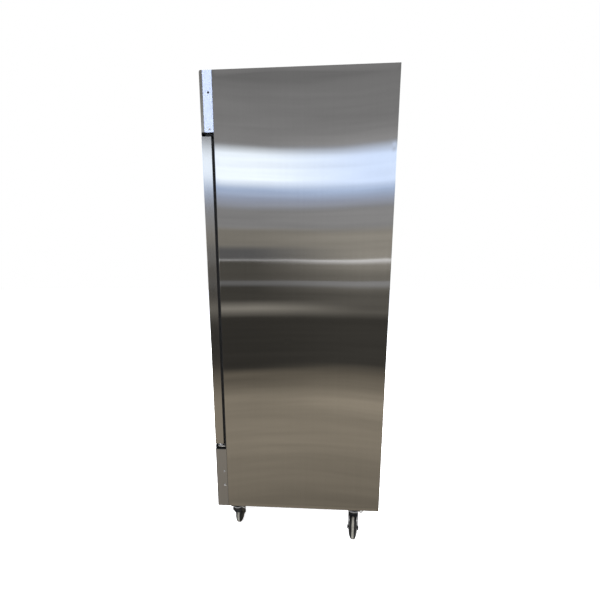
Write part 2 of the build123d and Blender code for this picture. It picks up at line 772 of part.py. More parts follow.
def seal_layer(y0, y1, inset):
    """One layer of the four mitred strips."""
    xo = seal_half - inset
    xi = seal_half - seal_w + inset
    zl = seal_low + inset
    zh = seal_high - inset
    zli = seal_low + seal_w - inset
    zhi = seal_high - seal_w + inset
    corner = [
        [(-xo, zl), (xo, zl), (xi, zli), (-xi, zli)],
        [(xo, zl), (xo, zh), (xi, zhi), (xi, zli)],
        [(xo, zh), (-xo, zh), (-xi, zhi), (xi, zhi)],
        [(-xo, zh), (-xo, zl), (-xi, zli), (-xi, zhi)],
    ]
    for outline in corner:
        with BuildSketch(facing.offset(-y1)) as strip:
            with BuildLine():
                Polyline(*outline, close=True)
            make_face()
        extrude(strip.sketch, amount=y1 - y0)


with BuildPart() as door_gasket:
    seal_layer(door_back, door_back + seal_base, 0)
    seal_layer(door_back + seal_base, seal_front - seal_base, seal_neck)
    seal_layer(seal_front - seal_base, seal_front, 0)
door_gasket.part.label = "door_gasket"
export_step(door_gasket.part, "parts/door_gasket.step")

# ---- storage compartment fittings ----
standard_w = 18.0
standard_d = 9.0
standard_low = inner_floor + 40
standard_high = opening_inner - 40
hole_pitch = 50.0
hole_w = 8.0
hole_h = 14.0
shelf_half = inner_half - standard_d - 5
shelf_set_back = 76.0
shelf_front = frame_y + shelf_set_back
shelf_back = inner_back - 24
standard_y = (shelf_front + 92, shelf_back - 65)
first_shelf = 243.8
shelf_pitch = 310.0
shelf_levels = [inner_floor + first_shelf + k * shelf_pitch for k in range(3)]
shelf_rim = 4.0
shelf_wire = 1.8
wire_pitch = 26.0
clip_len = 26.0
clip_drop = 12.0

with BuildPart() as shelf_standards:
    for side in (-1, 1):
        for y in standard_y:
            outer = side * inner_half
            inner = side * (inner_half - standard_d)
            x0 = min(outer, inner)
            x1 = max(outer, inner)
            block(x0, x1, y - standard_w / 2, y + standard_w / 2, standard_low, standard_high)
            groove0 = min(outer, inner + side * 1.2)
            groove1 = max(outer, inner + side * 1.2)
            block(groove0, groove1, y - standard_w / 2 + 1.2, y + standard_w / 2 - 1.2,
                  standard_low, standard_high, Mode.SUBTRACT)
            holes = int((standard_high - standard_low - 30) // hole_pitch)
            for step in range(holes):
                z = standard_low + 40 + step * hole_pitch
                face0 = min(inner, inner + side * 1.2)
                face1 = max(inner, inner + side * 1.2)
                block(face0, face1, y - hole_w / 2, y + hole_w / 2, z - hole_h / 2, z + hole_h / 2,
                      Mode.SUBTRACT)
shelf_standards.part.label = "shelf_standards"
export_step(shelf_standards.part, "parts/shelf_standards.step")


def shelf_at(level):
    """One wire shelf whose top wires lie on the rim at the given height."""
    rim_z = level - shelf_rim
    for y in (shelf_front, shelf_back):
        rod_x(-shelf_half, shelf_half, y, rim_z, shelf_rim)
    for x in (-shelf_half, shelf_half):
        rod_y(x, shelf_front, shelf_back, rim_z, shelf_rim)
    third = (shelf_back - shelf_front) / 3
    for y in (shelf_front + third, shelf_back - third):
        rod_x(-shelf_half, shelf_half, y, rim_z, shelf_rim * 0.7)
    count = int(2 * shelf_half // wire_pitch)
    start = -(count - 1) * wire_pitch / 2
    for step in range(count):
        rod_y(start + step * wire_pitch, shelf_front, shelf_back, rim_z + shelf_rim - 0.4, shelf_wire)


shelf_names = ("shelf_bottom", "shelf_middle", "shelf_top")
for shelf_name, level in zip(shelf_names, shelf_levels):
    with BuildPart() as shelf:
        shelf_at(level)
    shelf.part.label = shelf_name
    export_step(shelf.part, "parts/" + shelf_name + ".step")

with BuildPart() as shelf_clips:
    for level in shelf_levels:
        seat = level - 2 * shelf_rim
        for side in (-1, 1):
            for y in standard_y:
                wall_x = side * (inner_half - standard_d)
                tip = side * (inner_half - standard_d - 13)
                block(min(wall_x, tip), max(wall_x, tip), y - 10, y + 10, seat - 2.5, seat)
                back = side * (inner_half - standard_d - 2.5)
                block(min(wall_x, back), max(wall_x, back), y - 10, y + 10, seat - 2.5 - clip_drop, seat)
shelf_clips.part.label = "shelf_clips"
export_step(shelf_clips.part, "parts/shelf_clips.step")

# ---- evaporator section under the ceiling ----
cover_half = inner_half - 30
cover_front = inner_front + 40
cover_back_y = inner_back - 8
cover_low = opening_top - 8
fan_x = -90.0
fan_z = (cover_low + inner_top) / 2
evap_fan_r = 62.0
cover_sheet = 1.2
guard_front = cover_front - 5
guard_back = cover_front - 3
guard_wire = 1.0
guard_rings = (18.0, 34.0, 50.0)
guard_reach = evap_fan_r + 6
louvre_slots = 7
slot_pitch_x = 26.0
slot_half_h = 50.0
slot_mid_x = cover_half - 141
vent_rows = 6
vent_pitch = 24.0
vent_y = (evap_y - 30, evap_y + 70)

with BuildPart() as evaporator_cover:
    block(-cover_half, cover_half, cover_front, cover_back_y, cover_low, inner_top)
    block(-cover_half + cover_sheet, cover_half - cover_sheet,
          cover_front + cover_sheet, cover_back_y, cover_low + cover_sheet, inner_top, Mode.SUBTRACT)
    rod_y(fan_x, cover_front, cover_front + cover_sheet, fan_z, evap_fan_r + 4, Mode.SUBTRACT)
    for ring in guard_rings:
        rod_y(fan_x, guard_front, guard_back, fan_z, ring + guard_wire)
        rod_y(fan_x, guard_front, guard_back, fan_z, ring - guard_wire, Mode.SUBTRACT)
    rod_x(fan_x - guard_reach, fan_x + guard_reach, guard_back, fan_z, guard_wire)
    rod_z(fan_x, guard_back, fan_z - guard_reach, fan_z + guard_reach, guard_wire)
    for side in (-1, 1):
        rod_y(fan_x + side * guard_reach, guard_front, cover_front, fan_z, 1.5 * guard_wire)
        rod_y(fan_x, guard_front, cover_front, fan_z + side * guard_reach, 1.5 * guard_wire)
    with BuildSketch(facing.offset(-cover_front)):
        with Locations((slot_mid_x, fan_z)):
            with GridLocations(slot_pitch_x, 0, louvre_slots, 1):
                SlotOverall(2 * slot_half_h, 16, rotation=90)
    extrude(amount=-cover_sheet, mode=Mode.SUBTRACT)
    with BuildSketch(across.offset(-cover_half)):
        with Locations((sum(vent_y) / 2, fan_z)):
            with GridLocations(0, vent_pitch, 1, vent_rows):
                SlotOverall(vent_y[1] - vent_y[0], 10)
    extrude(amount=2 * cover_half, mode=Mode.SUBTRACT)
evaporator_cover.part.label = "evaporator_cover"
export_step(evaporator_cover.part, "parts/evaporator_cover.step")


def return_bend(x, y, z, reach, radius, side):
    """A half-round bend joining two tubes that lie one above the other."""
    with BuildLine(Plane(origin=(x, y, z), x_dir=(1, 0, 0), z_dir=(0, -1, 0))) as loop:
        CenterArc((0, 0), reach, -90 * side, 180)
    with BuildSketch(Plane(origin=loop.line @ 0, z_dir=loop.line % 0)) as section:
        Circle(radius)
    sweep(section.sketch, path=loop.line)


def finned_coil(x0, x1, y0, y1, z0, z1, tube_radius, fins, rows, columns):
    """A tube-and-fin block between six planes, tubes along X with bends at the ends."""
    pitch = (x1 - x0) / (fins - 1)
    row_pitch = (z1 - z0) / rows
    for k in range(fins):
        x = x0 + k * pitch
        block(x - fin_t / 2, x + fin_t / 2, y0, y1, z0, z1)
    for i in range(columns):
        y = y0 + (i + 0.5) * (y1 - y0) / columns
        for j in range(rows):
            z = z0 + (j + 0.5) * row_pitch
            rod_x(x0 - tube_end, x1 + tube_end, y, z, tube_radius)
            if j + 1 < rows:
                side = 1 if j % 2 else -1
                x = x1 + tube_end if side > 0 else x0 - tube_end
                return_bend(x, y, z + row_pitch / 2, row_pitch / 2, tube_radius, side)


fin_t = 0.6
tube_end = 10.0
with BuildPart() as evaporator_coil:
    finned_coil(-evap_half, evap_half, evap_y, evap_y + evap_d, evap_low, evap_high, 5, 22, 4, 2)
    for side in (-1, 1):
        x = side * (evap_half + 1)
        block(x - 1, x + 1, evap_y - 4, evap_y + evap_d + 4, evap_low - 4, inner_top)
evaporator_coil.part.label = "evaporator_coil"
export_step(evaporator_coil.part, "parts/evaporator_coil.step")


def fan_blade(span, chord):
    """One curved sheet blade reaching out along X, its chord along Z."""
    camber = chord * 0.07
    corner = chord * 0.28
    with BuildPart() as blade:
        with BuildSketch(Plane.YZ) as section:
            with BuildLine():
                ThreePointArc((0, -chord / 2), (camber, 0), (0, chord / 2))
                Line((0, chord / 2), (-blade_t, chord / 2))
                ThreePointArc((-blade_t, chord / 2), (camber - blade_t, 0), (-blade_t, -chord / 2))
                Line((-blade_t, -chord / 2), (0, -chord / 2))
            make_face()
        extrude(section.sketch, amount=span)
        with BuildSketch(Plane.XZ) as outline:
            with Locations(((span - corner) / 2, 0)):
                RectangleRounded(span + corner, chord, corner)
        extrude(outline.sketch, amount=chord, both=True, mode=Mode.INTERSECT)
    return blade.part


def fan_wheel(x, z, hub_y0, hub_y1, hub_r, tip_r, blades, chord, pitch_deg, shaft_to, shaft_r):
    """A bladed wheel on a shaft lying along Y."""
    rod_y(x, hub_y0, hub_y1, z, hub_r)
    rod_y(x, hub_y1, shaft_to, z, shaft_r)
    root = hub_r - 2
    blade = fan_blade(tip_r - root, chord)
    for k in range(blades):
        with Locations(Location((x, (hub_y0 + hub_y1) / 2, z), (0, 360.0 * k / blades, 0))):
            with Locations(Location((root, 0, 0), (pitch_deg, 0, 0))):
                add(blade)


blade_t = 1.4
motor_shaft_r = 3.0

with BuildPart() as evaporator_fan:
    fan_wheel(fan_x, fan_z, cover_front + 8, cover_front + 26, 18, evap_fan_r, 5, 44, 24,
              cover_front + 50, motor_shaft_r)
evaporator_fan.part.label = "evaporator_fan"
export_step(evaporator_fan.part, "parts/evaporator_fan.step")

with BuildPart() as evaporator_fan_motor:
    rod_y(fan_x, cover_front + 32, cover_front + 80, fan_z, 26)
    rod_y(fan_x, cover_front + 32, cover_front + 54, fan_z, motor_shaft_r + running_gap, Mode.SUBTRACT)
    block(fan_x - 15, fan_x + 15, cover_front + 60, cover_front + 63, fan_z + 20, inner_top)
    block(fan_x - 15, fan_x + 15, cover_front + 60, cover_front + 100, inner_top - 2, inner_top)
evaporator_fan_motor.part.label = "evaporator_fan_motor"
export_step(evaporator_fan_motor.part, "parts/evaporator_fan_motor.step")

with BuildPart() as interior_light:
    light_y = cover_front + 60
    block(-120, 120, light_y, light_y + 34, cover_low - 12, cover_low)
    fillet(interior_light.edges().filter_by(Axis.X).group_by(Axis.Z)[0], radius=6)
interior_light.part.label = "interior_light"
export_step(interior_light.part, "parts/interior_light.step")

# ---- condensing unit on its tray ----
tray_z = base_z + base_sheet
tray_half = inner_half - 9
tray_sheet = 2.0
cond_fan_r = 92.0
shroud_deep = 34.0
cond_fan_z = (cond_low + cond_high) / 2

with BuildPart() as unit_tray:
    with BuildSketch(Plane.XZ.offset(-(cond_y - 14))):
        with BuildLine():
            Polyline(
                (-tray_half, tray_z + 18),
                (-tray_half, tray_z),
                (tray_half, tray_z),
                (tray_half, tray_z + 18),
            )
            offset(amount=tray_sheet, side=Side.LEFT)
        make_face()
    extrude(amount=-(back_sheet_y - 20 - cond_y + 14))
    for x, y in bolt_spots:
        rod_z(x, y, tray_z, tray_z + 20, caster_bolt_head_r + 2, Mode.SUBTRACT)
unit_tray.part.label = "unit_tray"
export_step(unit_tray.part, "parts/unit_tray.step")
tray_top = tray_z + tray_sheet

comp_foot = 18.0
comp_foot_y = 55.0
comp_mount_r = 11.0
comp_box = 28.0

with BuildPart() as compressor:
    rod_z(comp_x, comp_y, comp_z, comp_z + comp_h, comp_r)
    fillet(compressor.edges().group_by(Axis.Z)[-1], radius=comp_r * 0.42)
    fillet(compressor.edges().group_by(Axis.Z)[0], radius=comp_r * 0.25)
    foot_z = comp_z - 3
    block(comp_x - comp_r - comp_foot, comp_x + comp_r + comp_foot,
          comp_y - comp_foot_y, comp_y + comp_foot_y, foot_z, comp_z + 3)
    for side in (-1, 1):
        for end in (-1, 1):
            rod_z(comp_x + side * (comp_r + 6), comp_y + end * 42, tray_top, foot_z, comp_mount_r)
    block(comp_x - comp_box, comp_x + comp_box, comp_y - comp_r - comp_box, comp_y - comp_r + 10,
          comp_z + 40, comp_z + 92)
    rod_x(comp_x + comp_r - 8, comp_x + comp_r + stub_len, comp_y, stub_z, line_r + 1.5)
    rod_x(comp_x - comp_r - stub_len, comp_x - comp_r + 8, comp_y, stub_z, line_r + 1.5)
compressor.part.label = "compressor"
export_step(compressor.part, "parts/compressor.step")

with BuildPart() as condenser_coil:
    finned_coil(-cond_half, cond_half, cond_y, cond_y + cond_d, cond_low, cond_high, 4.5, 26, 7, 2)
    for side in (-1, 1):
        x = side * (cond_half + 1)
        block(x - 1, x + 1, cond_y - 4, cond_y + cond_d + shroud_deep, tray_top, cond_high + 6)
    with BuildSketch(facing.offset(-(cond_y + cond_d + shroud_deep))):
        with Locations((0, cond_fan_z)):
            Rectangle(2 * cond_half, cond_high - cond_low + 4)
            Circle(cond_fan_r + 5, mode=Mode.SUBTRACT)
    extrude(amount=1.6)
    block(cond_half + 2, cond_half + manifold_reach, manifold_y - 5, manifold_y + 5, stub_z - 5, stub_z + 5)
condenser_coil.part.label = "condenser_coil"
export_step(condenser_coil.part, "parts/condenser_coil.step")

with BuildPart() as condenser_fan:
    fan_face_y = cond_y + cond_d + 12
    fan_wheel(0, cond_fan_z, fan_face_y, fan_face_y + 22, 22, cond_fan_r, 5, 56, 22,
              fan_face_y + 52, motor_shaft_r)
condenser_fan.part.label = "condenser_fan"
export_step(condenser_fan.part, "parts/condenser_fan.step")

with BuildPart() as condenser_fan_motor:
    motor_y = fan_face_y + 30
    rod_y(0, motor_y, motor_y + 62, cond_fan_z, 36)
    rod_y(0, motor_y, motor_y + 24, cond_fan_z, motor_shaft_r + running_gap, Mode.SUBTRACT)
    block(-16, 16, motor_y + 28, motor_y + 32, tray_top, cond_fan_z - 30)
    block(-40, 40, motor_y + 28, motor_y + 60, tray_top, tray_top + 3)
condenser_fan_motor.part.label = "condenser_fan_motor"
export_step(condenser_fan_motor.part, "parts/condenser_fan_motor.step")

with BuildPart() as condensate_pan:
    pan_x0 = -tray_half + 12
    pan_x1 = comp_x - 180
    pan_y0 = back_y - 180
    pan_y1 = back_sheet_y - 30
    block(pan_x0, pan_x1, pan_y0, pan_y1, tray_top, tray_top + 34)
    fillet(condensate_pan.edges().filter_by(Axis.Z), radius=12)
    block(pan_x0 + 2, pan_x1 - 2, pan_y0 + 2, pan_y1 - 2, tray_top + 2, tray_top + 34, Mode.SUBTRACT)
condensate_pan.part.label = "condensate_pan"
export_step(condensate_pan.part, "parts/condensate_pan.step")

with BuildPart() as electrical_box:
    block(-tray_half + 14, -tray_half + 96, -60, 60, tray_top, tray_top + 84)
    fillet(electrical_box.edges().filter_by(Axis.Z), radius=5)
    block(-tray_half + 10, -tray_half + 100, -64, 64, tray_top + 84, tray_top + 90)
electrical_box.part.label = "electrical_box"
export_step(electrical_box.part, "parts/electrical_box.step")

with BuildPart() as filter_drier:
    drier_x = -tray_half + 140
    rod_y(drier_x, -60, 40, tray_top + 22, 12)
    fillet(filter_drier.edges(), radius=6)
    rod_y(drier_x, 40, 62, tray_top + 22, 3.5)
    rod_y(drier_x, -82, -60, tray_top + 22, 3.5)
    block(drier_x - 3, drier_x + 3, -14, -6, tray_top, tray_top + 12)
filter_drier.part.label = "filter_drier"
export_step(filter_drier.part, "parts/filter_drier.step")

# ---- casters: yokes, wheels and brake pedals, drawn once and placed four times ----
axle_z = wheel_r
fork_half = fork_gap_half + fork_leg
pedal_x = trail + wheel_r + 2
pedal_z = fork_top - 23
pedal_pin_r = 3.5
pedal_half = fork_gap_half - 2
pedal_len = 32.0
pedal_rise = 6.0
pedal_t = 3.5
shoe_reach = 9.6
shoe_drop = 16.6
tyre_round = 9.0


def yoke(braked):
    """A pressed yoke with its axle bolt; a braked one reaches out to the pedal."""
    with BuildSketch(Plane.XZ) as cheek:
        with Locations((trail, axle_z)):
            Circle(12)
        with Locations((-16, fork_top - 8), (20, fork_top - 8)):
            Circle(8)
        if braked:
            with Locations((pedal_x, pedal_z)):
                Circle(8)
        make_hull()
    extrude(cheek.sketch, amount=fork_half, both=True)
    block(-80, pedal_x + 40, -fork_gap_half, fork_gap_half, 0, fork_top - fork_plate, Mode.SUBTRACT)
    block(fork_disc_r, pedal_x + 40, -fork_half, fork_half, fork_top - fork_plate, fork_top, Mode.SUBTRACT)
    rod_z(0, 0, fork_top - fork_plate, fork_top, fork_disc_r)
    rod_z(0, 0, fork_top, fork_top + 5, race_r - 5)
    rod_z(0, 0, fork_top, fork_top + 5, kingpin_head_r + 2, Mode.SUBTRACT)
    rod_z(0, 0, fork_top - fork_plate, fork_top + 5, kingpin_r + 0.1, Mode.SUBTRACT)
    if braked:
        rod_y(pedal_x, -fork_half, fork_half, pedal_z, pedal_pin_r + running_gap, Mode.SUBTRACT)
    rod_y(trail, -fork_half - 4, fork_half + 4, axle_z, axle_r)
    for side in (-1, 1):
        with BuildSketch(Plane.XZ.offset(side * fork_half)) as nut:
            with Locations((trail, axle_z)):
                RegularPolygon(8.5, 6)
        extrude(nut.sketch, amount=side * 5)


with BuildPart() as plain_yoke:
    yoke(False)

with BuildPart() as braked_yoke:
    yoke(True)

with BuildPart() as wheel_shape:
    rim_r = wheel_r - 13
    rod_y(trail, -tread / 2, tread / 2, axle_z, wheel_r)
    fillet(wheel_shape.edges(), radius=tyre_round)
    rod_y(trail, -tread / 2, tread / 2, axle_z, rim_r, Mode.SUBTRACT)

with BuildPart() as core_shape:
    rod_y(trail, -tread / 2 + 1, tread / 2 - 1, axle_z, rim_r)
    for side in (-1, 1):
        y0 = min(side * 5, side * tread / 2)
        y1 = max(side * 5, side * tread / 2)
        rod_y(trail, y0, y1, axle_z, rim_r - 5, Mode.SUBTRACT)
    with Locations(Location((trail, 0, axle_z), (90, 0, 0))):
        with PolarLocations(21, 5):
            Cylinder(6.5, tread, mode=Mode.SUBTRACT)
    rod_y(trail, -fork_gap_half + 2, fork_gap_half - 2, axle_z, 13)
    rod_y(trail, -fork_gap_half + 2, fork_gap_half - 2, axle_z, axle_r + running_gap, Mode.SUBTRACT)

with BuildPart() as pedal_shape:
    rod_y(pedal_x, -fork_half, fork_half, pedal_z, pedal_pin_r)
    with BuildSketch(Plane.XZ):
        with BuildLine():
            Polyline(
                (pedal_x - shoe_reach, pedal_z - shoe_drop),
                (pedal_x - 3, pedal_z - shoe_drop - 1),
                (pedal_x + 4.5, pedal_z - pedal_t),
                (pedal_x + pedal_len, pedal_z + pedal_rise),
                (pedal_x + pedal_len - 1, pedal_z + pedal_rise + pedal_t),
                (pedal_x - 1, pedal_z + 5.2),
                (pedal_x - 14, pedal_z - 8.5),
                close=True,
            )
        make_face()
    extrude(amount=pedal_half, both=True)

rear_yaw = 9.0
caster_turns = {
    "fl": (-caster_x, caster_front_y, 0.0, braked_yoke),
    "fr": (caster_x, caster_front_y, 180.0, braked_yoke),
    "rl": (-caster_x, caster_rear_y, 180.0 + rear_yaw, plain_yoke),
    "rr": (caster_x, caster_rear_y, -rear_yaw, plain_yoke),
}
for corner, (x, y, turn, yoke_shape) in caster_turns.items():
    with BuildPart() as caster_fork:
        with Locations(Location((x, y, 0), (0, 0, turn))):
            add(yoke_shape.part)
    caster_fork.part.label = "caster_fork_" + corner
    export_step(caster_fork.part, "parts/caster_fork_" + corner + ".step")
    with BuildPart() as caster_wheel:
        with Locations(Location((x, y, 0), (0, 0, turn))):
            add(wheel_shape.part)
            add(core_shape.part)
    caster_wheel.part.label = "caster_wheel_" + corner
    export_step(caster_wheel.part, "parts/caster_wheel_" + corner + ".step")
    if yoke_shape is braked_yoke:
        with BuildPart() as brake_pedal:
            with Locations(Location((x, y, 0), (0, 0, turn))):
                add(pedal_shape.part)
        brake_pedal.part.label = "brake_pedal_" + corner
        export_step(brake_pedal.part, "parts/brake_pedal_" + corner + ".step")
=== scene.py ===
import json
import math

import bmesh
import bpy
from mathutils import Matrix, Vector, noise


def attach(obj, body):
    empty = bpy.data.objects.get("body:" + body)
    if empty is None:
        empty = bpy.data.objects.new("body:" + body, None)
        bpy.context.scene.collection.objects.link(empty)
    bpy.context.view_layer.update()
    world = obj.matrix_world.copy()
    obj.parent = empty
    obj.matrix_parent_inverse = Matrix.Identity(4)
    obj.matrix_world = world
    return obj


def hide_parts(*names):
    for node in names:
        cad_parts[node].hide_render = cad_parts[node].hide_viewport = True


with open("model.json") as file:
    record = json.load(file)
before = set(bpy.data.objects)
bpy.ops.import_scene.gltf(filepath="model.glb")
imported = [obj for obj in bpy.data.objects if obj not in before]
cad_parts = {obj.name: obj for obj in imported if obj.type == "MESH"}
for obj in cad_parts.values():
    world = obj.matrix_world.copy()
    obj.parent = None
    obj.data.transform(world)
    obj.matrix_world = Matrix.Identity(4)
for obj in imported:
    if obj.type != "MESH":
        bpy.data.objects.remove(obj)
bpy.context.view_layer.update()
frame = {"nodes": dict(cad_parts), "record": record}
scene = bpy.context.scene

MM = 0.001

# The cabinet's main planes in metres.
HALF_WIDTH = 0.350
FRAME_FRONT = -0.338
BACK = 0.390
BASE = 0.135
TOP = 2.035

# The side sheets.
SHEET_GAUGE = 0.0012
SHEET_BEND = 0.0025
FRONT_RETURN = 0.025
BACK_RETURN = 0.015
SHEET_COLUMNS = 130
SHEET_ROWS = 210
EASE_RUN = 0.014
SHARP_EDGE = math.radians(38)

# The casters, in millimetres.
WHEEL_R = 50
TRAIL = 38
YOKE_INSIDE = 20
YOKE_OUTSIDE = 23
YOKE_TOP = 120
BORE_R = 6.0
HUB_HALF = 18.6
CASTERS = (
    ("fl", -0.318, -0.296, 0, True),
    ("fr", 0.318, -0.296, 180, True),
    ("rl", -0.318, 0.275, 189, False),
    ("rr", 0.318, 0.275, -9, False),
)

# The panel screws and the controls: places in metres, the head's radius in millimetres.
SCREW_HEAD_R = 4.2
SIDE_SCREWS = ((-0.354, 1.956, 1), (-0.354, 1.824, 0), (-0.351, 0.319, 0), (-0.351, 0.247, 0))
REAR_SCREW_X = (-0.316, 0.0, 0.316)
REAR_SCREW_Z = (0.149, 0.420)
CONTROLS_Z = 1.924
DISPLAY_FLOOR_Y = -0.3880
KEY_FACE_Y = -0.3896


# ---------------------------------------------------------------- camera
def make_camera():
    """A wide lens close to the right-hand side, a little above the middle, looking slightly down."""
    data = bpy.data.cameras.new("camera")
    data.sensor_width = 36
    data.lens = 18
    data.shift_x = 0.0097
    data.shift_y = 0.0505
    data.clip_start = 0.05
    data.clip_end = 200
    camera = bpy.data.objects.new("camera", data)
    scene.collection.objects.link(camera)
    turn, tilt = math.radians(3.12), math.radians(9.34)
    look = Vector((-math.cos(tilt) * math.cos(turn), -math.cos(tilt) * math.sin(turn), -math.sin(tilt)))
    camera.location = (1.646, 0.056, 1.224)
    camera.rotation_mode = "QUATERNION"
    camera.rotation_quaternion = look.to_track_quat("-Z", "Y")
    scene.camera = camera


# ---------------------------------------------------------------- the room that the steel reflects
WARM = (1.16, 1.0, 0.77)
DIM = (1.08, 1.0, 0.86)
PLAIN = (1.0, 0.985, 0.98)
COOL = (0.91, 1.0, 1.24)
DEEP = (0.81, 1.0, 1.38)
SKY = (0.84, 0.99, 1.28)
BRIGHT = (0.92, 1.0, 1.09)

# Each band: its lowest and highest elevation in degrees, its brightness and its tint.
FRONT_ROOM = (
    (-90, -38, 0.17, WARM), (-35, -33, 0.22, WARM), (-30, -27, 0.25, WARM), (-25, -21.5, 0.23, WARM),
    (-20.2, -19.2, 0.15, WARM), (-18.6, -18.2, 0.11, WARM), (-17.6, -17.0, 0.13, WARM),
    (-16.2, -6.8, 0.038, DIM), (-5.6, -4.6, 0.27, DIM), (-3.6, -1.1, 0.055, DIM), (-0.8, -0.4, 0.17, PLAIN),
    (0.2, 3.6, 0.080, DIM), (3.7, 3.86, 0.55, PLAIN), (3.98, 5.6, 0.12, PLAIN), (6.6, 9.0, 0.24, DIM),
    (9.6, 12.4, 0.28, PLAIN), (13.6, 14.4, 0.43, COOL), (15.4, 16.2, 0.60, DEEP), (17.2, 20.8, 1.36, BRIGHT),
    (22.1, 24.0, 0.27, PLAIN), (25.5, 28.5, 0.26, PLAIN), (30, 34, 0.20, PLAIN), (48, 90, 0.42, COOL),
)
REAR_ROOM = (
    (-90, -38, 0.17, WARM), (-35, -32, 0.20, WARM), (-29, -26, 0.25, WARM), (-24, -22.3, 0.29, WARM),
    (-20.6, -19.6, 0.20, WARM), (-18.4, -16.8, 0.14, WARM), (-15.4, -7.0, 0.048, DIM),
    (-5.8, -2.6, 0.11, DIM), (-1.8, -1.1, 0.15, DIM), (-0.8, -0.4, 0.29, PLAIN), (0.2, 1.4, 0.17, DIM),
    (2.4, 3.58, 0.29, DIM), (3.7, 3.86, 1.0, PLAIN), (3.98, 8.4, 0.33, DIM), (9.6, 12.4, 0.32, PLAIN),
    (13.6, 14.2, 0.42, COOL), (15.1, 15.8, 0.68, DEEP), (16.7, 20.6, 1.12, SKY), (21.7, 23.0, 0.36, PLAIN),
    (25.0, 28.5, 0.25, PLAIN), (30, 34, 0.22, PLAIN), (48, 90, 0.42, COOL),
)


def ramp_of(nodes, bands, low, high):
    """A colour ramp from one elevation to another that holds each band level."""
    ramp = nodes.new("ShaderNodeValToRGB")
    stops = ramp.color_ramp.elements
    stops.remove(stops[1])
    placed = []
    for bottom, top, bright, tint in bands:
        ends = {bottom, top} if top - bottom > 1.6 else {(bottom + top) / 2}
        placed += [(end, bright, tint) for end in ends if low <= end <= high]
    for index, (end, bright, tint) in enumerate(sorted(placed)):
        place = (end - low) / (high - low)
        stop = stops[0] if index == 0 else stops.new(place)
        stop.position = place
        stop.color = tuple(bright * t for t in tint) + (1.0,)
    return ramp


def room_half(nodes, links, bands, rise):
    """The whole room's bands: a ramp below the horizon and one above it."""
    halves = []
    for low, high in ((-60.0, 0.0), (0.0, 60.0)):
        along = nodes.new("ShaderNodeMapRange")
        along.inputs["From Min"].default_value = math.radians(low)
        along.inputs["From Max"].default_value = math.radians(high)
        links.new(rise, along.inputs["Value"])
        ramp = ramp_of(nodes, bands, low, high)
        links.new(along.outputs[0], ramp.inputs[0])
        halves.append(ramp)
    above = nodes.new("ShaderNodeMath")
    above.operation = "GREATER_THAN"
    above.inputs[1].default_value = 0.0
    links.new(rise, above.inputs[0])
    return mixed(nodes, links, above.outputs[0], halves[0].outputs["Color"], halves[1].outputs["Color"])


def mixed(nodes, links, factor, first, second):
    """One of two linked colours, or a blend of them."""
    blend = nodes.new("ShaderNodeMix")
    blend.data_type = "RGBA"
    links.new(factor, blend.inputs["Factor"])
    links.new(first, blend.inputs["A"])
    links.new(second, blend.inputs["B"])
    return blend.outputs["Result"]


def make_world():
    """White behind the object, and a banded room for the steel to reflect."""
    world = bpy.data.worlds.new("room")
    scene.world = world
    world.use_nodes = True
    nodes, links = world.node_tree.nodes, world.node_tree.links
    nodes.clear()
    place = nodes.new("ShaderNodeTexCoord")
    split = nodes.new("ShaderNodeSeparateXYZ")
    links.new(place.outputs["Generated"], split.inputs[0])
    rise = nodes.new("ShaderNodeMath")
    rise.operation = "ARCSINE"
    links.new(split.outputs["Z"], rise.inputs[0])
    front = room_half(nodes, links, FRONT_ROOM, rise.outputs[0])
    rear = room_half(nodes, links, REAR_ROOM, rise.outputs[0])
    turn = nodes.new("ShaderNodeMath")
    turn.operation = "ARCTAN2"
    links.new(split.outputs["Y"], turn.inputs[0])
    links.new(split.outputs["X"], turn.inputs[1])
    sixfold = nodes.new("ShaderNodeMath")
    sixfold.operation = "MULTIPLY"
    sixfold.inputs[1].default_value = 6.0
    links.new(turn.outputs[0], sixfold.inputs[0])
    wave = nodes.new("ShaderNodeMath")
    wave.operation = "SINE"
    links.new(sixfold.outputs[0], wave.inputs[0])
    share = nodes.new("ShaderNodeMapRange")
    share.inputs["From Min"].default_value = -0.9
    share.inputs["From Max"].default_value = 0.9
    links.new(wave.outputs[0], share.inputs["Value"])
    reflected = nodes.new("ShaderNodeBackground")
    links.new(mixed(nodes, links, share.outputs[0], front, rear), reflected.inputs["Color"])
    lay = nodes.new("ShaderNodeMapping")
    lay.inputs["Scale"].default_value = (1.8, 1.8, 62)
    links.new(place.outputs["Generated"], lay.inputs["Vector"])
    clutter = nodes.new("ShaderNodeTexNoise")
    clutter.inputs["Scale"].default_value = 1.0
    clutter.inputs["Detail"].default_value = 5.0
    clutter.inputs["Roughness"].default_value = 0.65
    links.new(lay.outputs[0], clutter.inputs["Vector"])
    links.new(spread(nodes, links, clutter.outputs["Fac"], 0.89, 1.11), reflected.inputs["Strength"])
    white = nodes.new("ShaderNodeBackground")
    white.inputs["Color"].default_value = (1, 1, 1, 1)
    white.inputs["Strength"].default_value = 1.0
    rays = nodes.new("ShaderNodeLightPath")
    choose = nodes.new("ShaderNodeMixShader")
    links.new(rays.outputs["Is Camera Ray"], choose.inputs["Fac"])
    links.new(reflected.outputs[0], choose.inputs[1])
    links.new(white.outputs[0], choose.inputs[2])
    out = nodes.new("ShaderNodeOutputWorld")
    links.new(choose.outputs[0], out.inputs["Surface"])


def area_light(name, place, aim, size, power, colour, glossy):
    """A soft square light that the camera doesn't see."""
    data = bpy.data.lights.new(name, "AREA")
    data.shape = "SQUARE"
    data.size = size
    data.energy = power
    data.color = colour
    light = bpy.data.objects.new(name, data)
    scene.collection.objects.link(light)
    light.location = place
    light.rotation_mode = "QUATERNION"
    light.rotation_quaternion = (Vector(aim) - Vector(place)).to_track_quat("-Z", "Y")
    light.visible_camera = False
    light.visible_glossy = glossy
    return light


